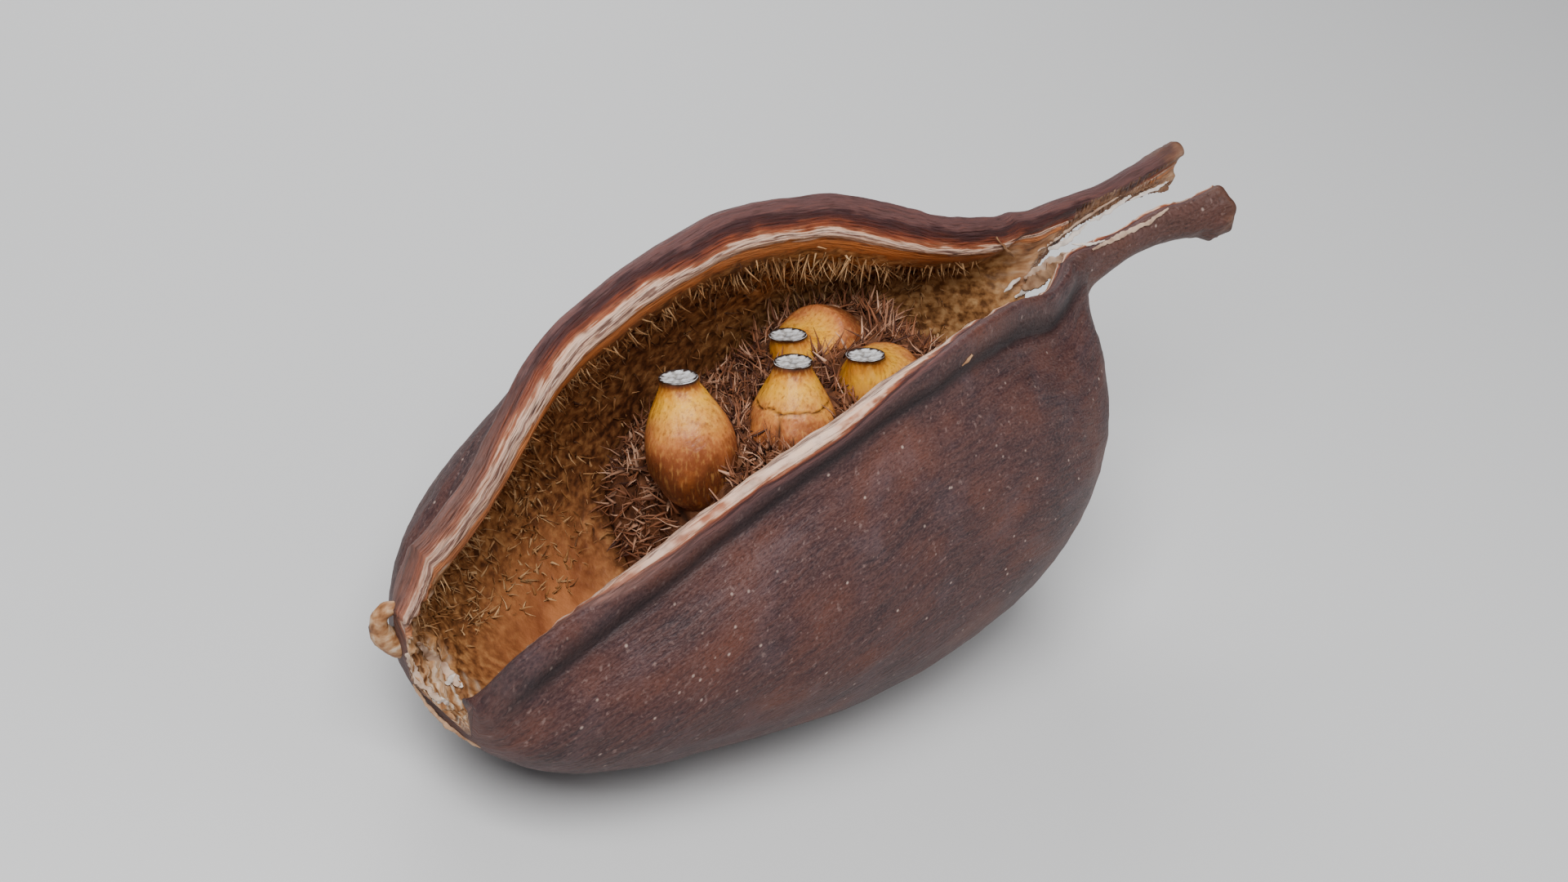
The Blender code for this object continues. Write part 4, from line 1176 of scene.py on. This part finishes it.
@dataclass
class BristleBed:
    """The matted bristles round the seeds: a tangled core and what stands out of it."""

    rows: int = 90
    under: int = 26
    over: int = 60
    count: int = 10000
    heaped: float = 1.9
    crown_from: float = -1.8
    seed: int = 33
    # at the roots, as painted shade, of most bristles, and of the palest tips
    colours: tuple = ((0.050, 0.014, 0.007), (0.25, 0.088, 0.036), (0.62, 0.36, 0.23))

    def crown(self, x: Array, across: Array) -> Array:
        """How far the bed's top stands over its edge."""
        hump = (1 - across**2) * ramp(x, FORM.bed_start, self.crown_from)
        places = zip(np.ravel(x), np.ravel(across))
        lumps = np.array([noise.noise((px / 2.2, pa * 5, 5)) for px, pa in places])
        return hump * (FORM.bed_crown + 0.9 * lumps.reshape(np.shape(x)))

    def brim(self, side: Side, x: float) -> float:
        """How far up the valve the bed's edge lies, as a share of the way from keel to rim."""
        return FORM.share_at_height(side, x, float(FORM.bed_top(x)), FORM.clearance)

    def build(self) -> None:
        """Makes the core and its bristles."""
        self.core()
        self.bristles()

    def core(self) -> Piece:
        """The tangle, a body that fills the bottom of the hollow."""
        rows = []
        for x in np.linspace(FORM.bed_start, FORM.bed_end, self.rows):
            ring = []
            for side in Side:
                v = np.linspace(0, self.brim(side, x), self.under)
                part = FORM.hollow(side, np.full(self.under, x), v, FORM.clearance)
                ring.append(part[::-1] if side is Side.NEAR else part[1:])
            ring = np.concatenate(ring)
            t = np.arange(1, self.over)[:, None] / self.over
            over = ring[-1] * (1 - t) + ring[0] * t
            over[:, 2] += self.crown(np.full(self.over - 1, x), 1 - 2 * t[:, 0])
            over[:, 2] += 0.35 * rough(over, 0.9, 51, 3) + self.heap(over)
            rows.append(np.concatenate([ring, over]))
        mesh = Workshop.tube("bristle_tangle", np.array(rows), {})
        return Workshop.finish(mesh, BedFinish(), "bristle_bed", ["bristle_bed"])

    def bristles(self) -> Piece:
        """Hairs over the bed, longer at its toe, and clear of the seeds."""
        draw = np.random.default_rng(self.seed)
        x = draw.uniform(-4.7, 19.8, self.count)
        across = draw.uniform(-0.97, 0.97, self.count)
        roots = self.surface(x, across)
        gap = seed_gap(roots)
        keep = gap > 0.05
        x, across, roots, gap = x[keep], across[keep], roots[keep], gap[keep]
        n = len(x)
        slope = (FORM.bed_top(x + 0.3) - FORM.bed_top(x - 0.3)) / 0.6
        up = unit(np.stack([-slope, -across * 0.5, np.ones(n)], -1))
        ways = up + draw.normal(0, 0.75, (n, 3))
        toe = ramp(x, 2.5, -3.0)
        by_seed = bump(gap, 0.3, 0.9)
        plants = {
            "root": roots - up * 0.15,
            "way": ways,
            "length": draw.uniform(0.6, 1.35, n) * (1 + 0.35 * toe + 0.5 * by_seed),
            "radius": draw.uniform(0.07, 0.19, n) * (1 + 0.3 * toe),
            "tone": np.clip(draw.normal(0.36, 0.3, n) + 0.12 * toe, 0, 1),
        }
        tips = roots + unit(ways) * plants["length"][:, None]
        clear = seed_gap(tips) > -0.1
        plants = {key: values[clear] for key, values in plants.items()}
        mesh = Bristles().plant("bed_bristles", plants, self.seed)
        return Workshop.finish(mesh, BristleFinish("bed_bristles", *self.colours), "bristle_bed")

    def surface(self, x: Array, across: Array) -> Array:
        """Points of the bed's top: across runs from -1 at the near edge to 1 at the far one."""
        places = np.linspace(FORM.bed_start, FORM.bed_end, 80)
        edges = []
        for side in Side:
            brims = np.array([self.brim(side, place) for place in places])
            line = FORM.hollow(side, places, brims, FORM.clearance)
            edges.append(np.stack([np.interp(x, places, line[:, i]) for i in range(3)], -1))
        points = edges[0] + (edges[1] - edges[0]) * (across[:, None] + 1) / 2
        points[:, 2] += self.crown(x, across)
        points[:, 2] += self.heap(points)
        return points

    def heap(self, points: Array) -> Array:
        """How much higher the bristles lie round the seeds."""
        return self.heaped * bump(seed_gap(points), 0.5, 1.3)


@dataclass
class SeedBody:
    """One seed with its neck, collar and scar disc."""

    name: str
    shape: SeedShape
    cracked: bool = False
    sides: int = 72
    rows: int = 84
    disc_rows: int = 10

    def build(self) -> Piece:
        """Turns the seed, wrinkles it and marks its coat."""
        n, places = self.disc_rows, np.linspace(0.985, 0.03, self.disc_rows)
        share = np.concatenate([np.linspace(0.002, 1.0, self.rows), np.full(n, 1.0)])
        radius, disc, sink = self.shape.radius(share), np.zeros_like(share), np.zeros_like(share)
        radius[-n:] = radius[-1] * places
        disc[-n:], disc[-n - 1] = places, 0.995
        sink[-n:] = 0.10 * bump(places, 0.55, 0.35) + 0.22 * ramp(places, 0.28, 0.14)
        a, b, along = self.shape.frame_at(share)
        ring = around(a, b, self.sides)
        centre = self.shape.centre(share) - along * sink[:, None]
        points = centre[:, None] + ring * radius[:, None, None]
        uneven = rough(points, 2.4, 61) * 0.13 + rough(points, (0.8, 0.8, 1.6), 64, 3) * 0.05
        fade = ramp(share, 0.0, 0.1) * ramp(disc, 0.5, 0.0)
        points = points + ring * (uneven * fade[:, None])[..., None]
        crack = self.crack(share) if self.cracked else np.zeros(points.shape[:2])
        points = points - ring * (0.16 * crack)[..., None]
        marks = {
            "coat": points - np.array(self.shape.disc),
            "share": np.broadcast_to(share[:, None], points.shape[:2]),
            "disc": np.broadcast_to(disc[:, None], points.shape[:2]),
            "crack": crack,
        }
        mesh = Workshop.tube(self.name + "_body", points, marks)
        return Workshop.finish(mesh, SeedFinish(self.name + "_coat"), "seed", [self.name])

    def crack(self, share: Array) -> Array:
        """How deep the crack runs: round the shoulder, and down from there."""
        angles = np.linspace(0, 2 * math.pi, self.sides, endpoint=False)
        toward = np.array((-0.482, -0.517, 0.0))
        a, b, _ = self.shape.frame_at(np.array([0.6]))
        front = math.atan2(float(b[0] @ toward), float(a[0] @ toward))
        turn = (angles - front + math.pi) % (2 * math.pi) - math.pi
        wander = np.array([noise.noise((t * 2.2, 3.0, 1.0)) for t in turn.tolist()])
        line = 0.635 + 0.035 * wander
        round_it = bump(share[:, None] - line[None], 0.0, 0.006) * (np.abs(turn) < 1.5)
        sideways = 0.35 * (share[:, None] - 0.5)
        down = bump(turn[None] + 0.35 + sideways, 0.0, 0.035) * ramp(share[:, None], 0.42, 0.46)
        down = down * (share[:, None] < 0.64)
        return np.clip(round_it + down, 0, 1)


@dataclass
class TipHorn:
    """The curled horn that the torn tip ends in."""

    # x, y, z and half width
    path: tuple = (
        (-21.6, 3.9, -1.9, 0.7), (-22.4, 3.8, -1.0, 0.74), (-23.05, 3.9, 0.0, 0.66),
        (-23.25, 3.95, 0.95, 0.5), (-23.05, 3.85, 1.75, 0.42), (-22.4, 3.6, 2.0, 0.32),
        (-21.95, 3.45, 1.65, 0.2),
    )
    rings: int = 34
    sides: int = 28
    round_from: float = 0.93
    round_reach: float = 0.075

    def build(self) -> Piece:
        """Sweeps a rough tapering tube along the horn's path and rounds its end."""
        t = np.linspace(0, 1, self.rings)
        swept = through(self.path, t)
        line, width = swept[:, :3], swept[:, 3]
        along = unit(np.gradient(line, axis=0))
        across = unit(np.cross(along, np.array((0.0, 1.0, 0.0))))
        ring = around(across, np.cross(along, across), self.sides)
        round_off = np.sqrt(np.maximum(1 - ((t - self.round_from) / self.round_reach) ** 2, 0.02))
        radius = width * np.where(t > self.round_from, round_off, 1)
        points = line[:, None] + ring * radius[:, None, None]
        folds = 0.07 * rough(points, (0.8, 0.5, 1.4), 71, 2) + 0.05 * rough(points, 0.45, 74, 2)
        points = points + ring * folds[..., None]
        marks = {"grain": points * 1.4}
        # the horn carries a little of the deep's painted shade and none of the crease's
        for key, value in (("band", 0.5), ("torn", 1.0), ("depth_shade", 0.25), ("bare", 0.0), ("crease", 0.0)):
            marks[key] = np.full(points.shape[:2], value)
        return Workshop.finish(Workshop.tube("tip_horn", points, marks), HuskFinish(), "pod_shell")


class TissueFinish(Finish):
    """Thin torn tissue, from tan to papery white."""

    def __init__(self, name: str, paleness: float) -> None:
        """Mixes the tissue's fibres.

        Args:
            name: what the finish is called.
            paleness: 0 for tan and 1 for white.
        """
        super().__init__(name, 0.7)
        fibres = self.noise(1500, self.place(), detail=5)
        dark, tan, white = np.array(((0.15, 0.055, 0.022), (0.42, 0.23, 0.11), (0.74, 0.68, 0.62)))
        shade = tan + (white - tan) * paleness
        low = dark + (shade - dark) * (0.25 + 0.55 * paleness)
        stops = ((0.32, tuple(low.tolist())), (0.58, tuple(shade.tolist())))
        self.wear(self.ramp(fibres, stops), fibres, 0.05)


@dataclass
class Scrap:
    """A shred of tissue or a papery flake that hangs on where the pod is torn."""

    name: str
    width: float
    paleness: float
    path: tuple
    thickness: float = 0.045
    facing: tuple = (-0.48, -0.52, 0.71)
    rings: int = 40
    sides: int = 10

    def build(self) -> Piece:
        """Sweeps a thin ragged ribbon along the path."""
        t = np.linspace(0, 1, self.rings)
        line = through(self.path, t)
        face = unit(np.array(self.facing) + 0.5 * rough(line, 1.2, 91)[:, None])
        side = unit(np.cross(unit(np.gradient(line, axis=0)), face))
        taper = np.sqrt(np.sin(math.pi * (0.04 + 0.92 * t)))
        angles = np.linspace(0, 2 * math.pi, self.sides, endpoint=False)
        reach = np.stack([0.7 + 0.6 * rough(line, 0.35, seed, 2) for seed in (93, 97)], -1)
        wide = np.where(np.cos(angles) > 0, reach[:, :1], reach[:, 1:]) * np.cos(angles)
        points = line[:, None] + side[:, None] * (wide * self.width * taper[:, None])[..., None]
        points = points + face[:, None] * (np.sin(angles) * self.thickness)[None, :, None]
        points = points + face[:, None] * (0.12 * rough(points, 0.6, 95, 2))[..., None]
        mesh = Workshop.tube(self.name, points, {})
        return Workshop.finish(mesh, TissueFinish(self.name, self.paleness), "pod_shell")


SCRAPS = (
    Scrap("tip_shred_1", 0.17, 0.1, (
        (-22.69, 2.26, -2.78), (-22.69, 1.38, -3.49), (-22.69, -0.11, -3.78), (-22.6, -1.68, -3.66),
        (-22.33, -2.82, -3.81),
    )),
    Scrap("tip_shred_2", 0.35, 0.35, (
        (-22.69, 2.46, -0.45), (-22.46, 2.29, -1.93), (-22.61, 1.3, -2.28), (-22.46, 0.12, -2.43),
    )),
    Scrap("tip_shred_3", 0.4, 0.3, (
        (-21.57, 2.99, -0.86), (-20.66, 3.39, -3.24), (-20.08, 2.85, -4.32), (-20.16, 1.8, -4.57),
    )),
    Scrap("tip_flake_1", 0.25, 0.9, (
        (-22.3, 1.37, -2.85), (-22.47, 0.27, -2.55), (-22.0, 0.13, -3.22),
    )),
    Scrap("tip_flake_2", 0.3, 0.85, (
        (-20.85, 1.98, -4.03), (-20.06, 2.35, -4.57), (-20.03, 1.69, -4.7),
    )),
    Scrap("hole_shred_1", 0.6, 0.1, (
        (23.8, 1.7, -2.4), (24.3, 0.9, -1.5), (24.7, 0.2, -0.6), (25.0, -0.6, 0.4),
    )),
    Scrap("hole_shred_2", 0.4, 0.3, (
        (24.2, 1.9, -2.0), (24.9, 1.3, -1.3), (25.6, 0.7, -0.5), (26.0, 0.1, 0.2),
    )),
    Scrap("hole_flake_1", 0.22, 0.95, (
        (23.5, 1.9, -3.1), (23.9, 1.6, -2.7), (24.3, 1.3, -2.4),
    )),
    Scrap("hole_flake_2", 0.18, 0.8, (
        (22.9, 2.3, -2.6), (23.6, 2.2, -2.2), (24.1, 2.1, -2.0),
    )),
    Scrap("hanging_shred_1", 0.15, 0.0, (
        (21.6, 2.2, 2.6), (22.07, 2.03, 1.84), (23.0, 2.3, 0.6), (23.84, 2.5, -0.36),
    )),
    Scrap("lip_scar", 0.2, 0.0, (
        (8.13, -8.17, 8.58), (7.7, -8.23, 8.47), (7.29, -8.27, 8.34),
    )),
    Scrap("far_prong_flake_1", 0.26, 0.85, (
        (26.6, 2.2, -1.2), (27.8, 2.15, -1.5), (29.2, 2.2, -1.45), (30.2, 2.25, -1.2),
    )),
    Scrap("far_prong_flake_2", 0.22, 0.9, (
        (30.4, 2.2, -1.15), (31.6, 2.1, -1.25), (32.9, 2.05, -1.05), (34.0, 1.95, -0.95),
    )),
    Scrap("far_prong_flake_3", 0.18, 0.9, (
        (33.8, 1.85, -1.15), (35.0, 1.75, -1.2), (36.2, 1.65, -1.35), (37.2, 1.6, -1.3),
    )),
    Scrap("far_prong_strand", 0.12, 0.3, (
        (25.41, 2.04, -0.6), (27.3, 2.3, -0.9), (30.0, 2.2, -0.6), (33.0, 2.0, -0.4),
    )),
    Scrap("near_prong_strand", 0.22, 0.3, (
        (25.9, -1.75, 1.6), (27.5, -1.72, 1.35), (29.2, -1.85, 1.2), (30.8, -2.1, 1.25),
        (32.4, -2.15, 1.4),
    )),
    Scrap("near_prong_splinter", 0.12, 0.8, (
        (24.9, -0.9, 2.1), (25.9, -1.4, 1.8), (27.2, -1.6, 1.5),
    )),
)


@dataclass
class Studio:
    """A pale floor, soft lights and the camera at the photograph's angle."""

    azimuth: float = math.radians(43)
    elevation: float = math.radians(45)
    distance: float = 146.0
    lens: float = 60.0
    shift_x: float = 0.0177
    shift_y: float = 0.0135

    def build(self) -> None:
        """Sets up everything that isn't the pod."""
        self.floor()
        self.camera()
        self.light("key", (-90, -60, 170), 110, 0.55)
        self.light("fill", (110, -130, 90), 160, 0.12)
        self.light("back", (60, 150, 120), 120, 0.25)
        world = bpy.data.worlds.new("studio")
        world.use_nodes = True
        sky = world.node_tree.nodes["Background"]
        sky.inputs["Color"].default_value = (0.9, 0.93, 1.0, 1.0)
        sky.inputs["Strength"].default_value = 0.2
        bpy.context.scene.world = world

    def floor(self) -> None:
        """A wide pale floor."""
        work = bmesh.new()
        bmesh.ops.create_grid(work, x_segments=1, y_segments=1, size=2.0)
        mesh = bpy.data.meshes.new("floor")
        work.to_mesh(mesh)
        work.free()
        floor = bpy.data.objects.new("floor", mesh)
        bpy.context.scene.collection.objects.link(floor)
        paint = bpy.data.materials.new("pale_floor")
        paint.use_nodes = True
        shader = paint.node_tree.nodes["Principled BSDF"]
        shader.inputs["Base Color"].default_value = (0.62, 0.62, 0.62, 1)
        shader.inputs["Roughness"].default_value = 0.8
        mesh.materials.append(paint)

    def camera(self) -> None:
        """The camera, placed in the pod's own frame and laid down with it."""
        a, e = self.azimuth, self.elevation
        toward = np.array((-math.sin(a) * math.cos(e), -math.cos(a) * math.cos(e), math.sin(e)))
        right = np.array((math.cos(a), -math.sin(a), 0.0))
        up = np.cross(toward, right)
        axes = [Vector(REST.heading(axis)) for axis in (right, up, toward)]
        data = bpy.data.cameras.new("camera")
        data.lens, data.sensor_width = self.lens, 36.0
        data.shift_x, data.shift_y = self.shift_x, self.shift_y
        data.clip_start, data.clip_end = 0.005, 10.0
        made = bpy.data.objects.new("camera", data)
        bpy.context.scene.collection.objects.link(made)
        turn = Matrix(axes).transposed().to_4x4()
        made.matrix_world = Matrix.Translation(REST.place(toward * self.distance)) @ turn
        bpy.context.scene.camera = made

    def light(self, name: str, place: tuple[float, float, float], size: float, power: float) -> None:
        """A square soft light that faces the pod.

        Args:
            name: what it is called.
            place: where it hangs, in millimetres of the row's frame.
            size: its side in millimetres.
            power: its power in watts.
        """
        data = bpy.data.lights.new(name, "AREA")
        data.size, data.energy = size * MM, power
        made = bpy.data.objects.new(name, data)
        bpy.context.scene.collection.objects.link(made)
        made.location = Vector(place) * MM
        made.rotation_euler = (-made.location + Vector((0, 0, 0.01))).to_track_quat("-Z", "Y").to_euler()


def main() -> None:
    """Builds the pod piece by piece, and then the studio."""
    logging.basicConfig(level=logging.INFO, format="%(message)s")
    Shell().build()
    TipHorn().build()
    for scrap in SCRAPS:
        scrap.build()
    Lining().build()
    BristleBed().build()
    for name, shape in SEEDS.items():
        SeedBody(name, shape, cracked=name == "seed_2").build()
    Studio().build()


if __name__ == "__main__":
    main()
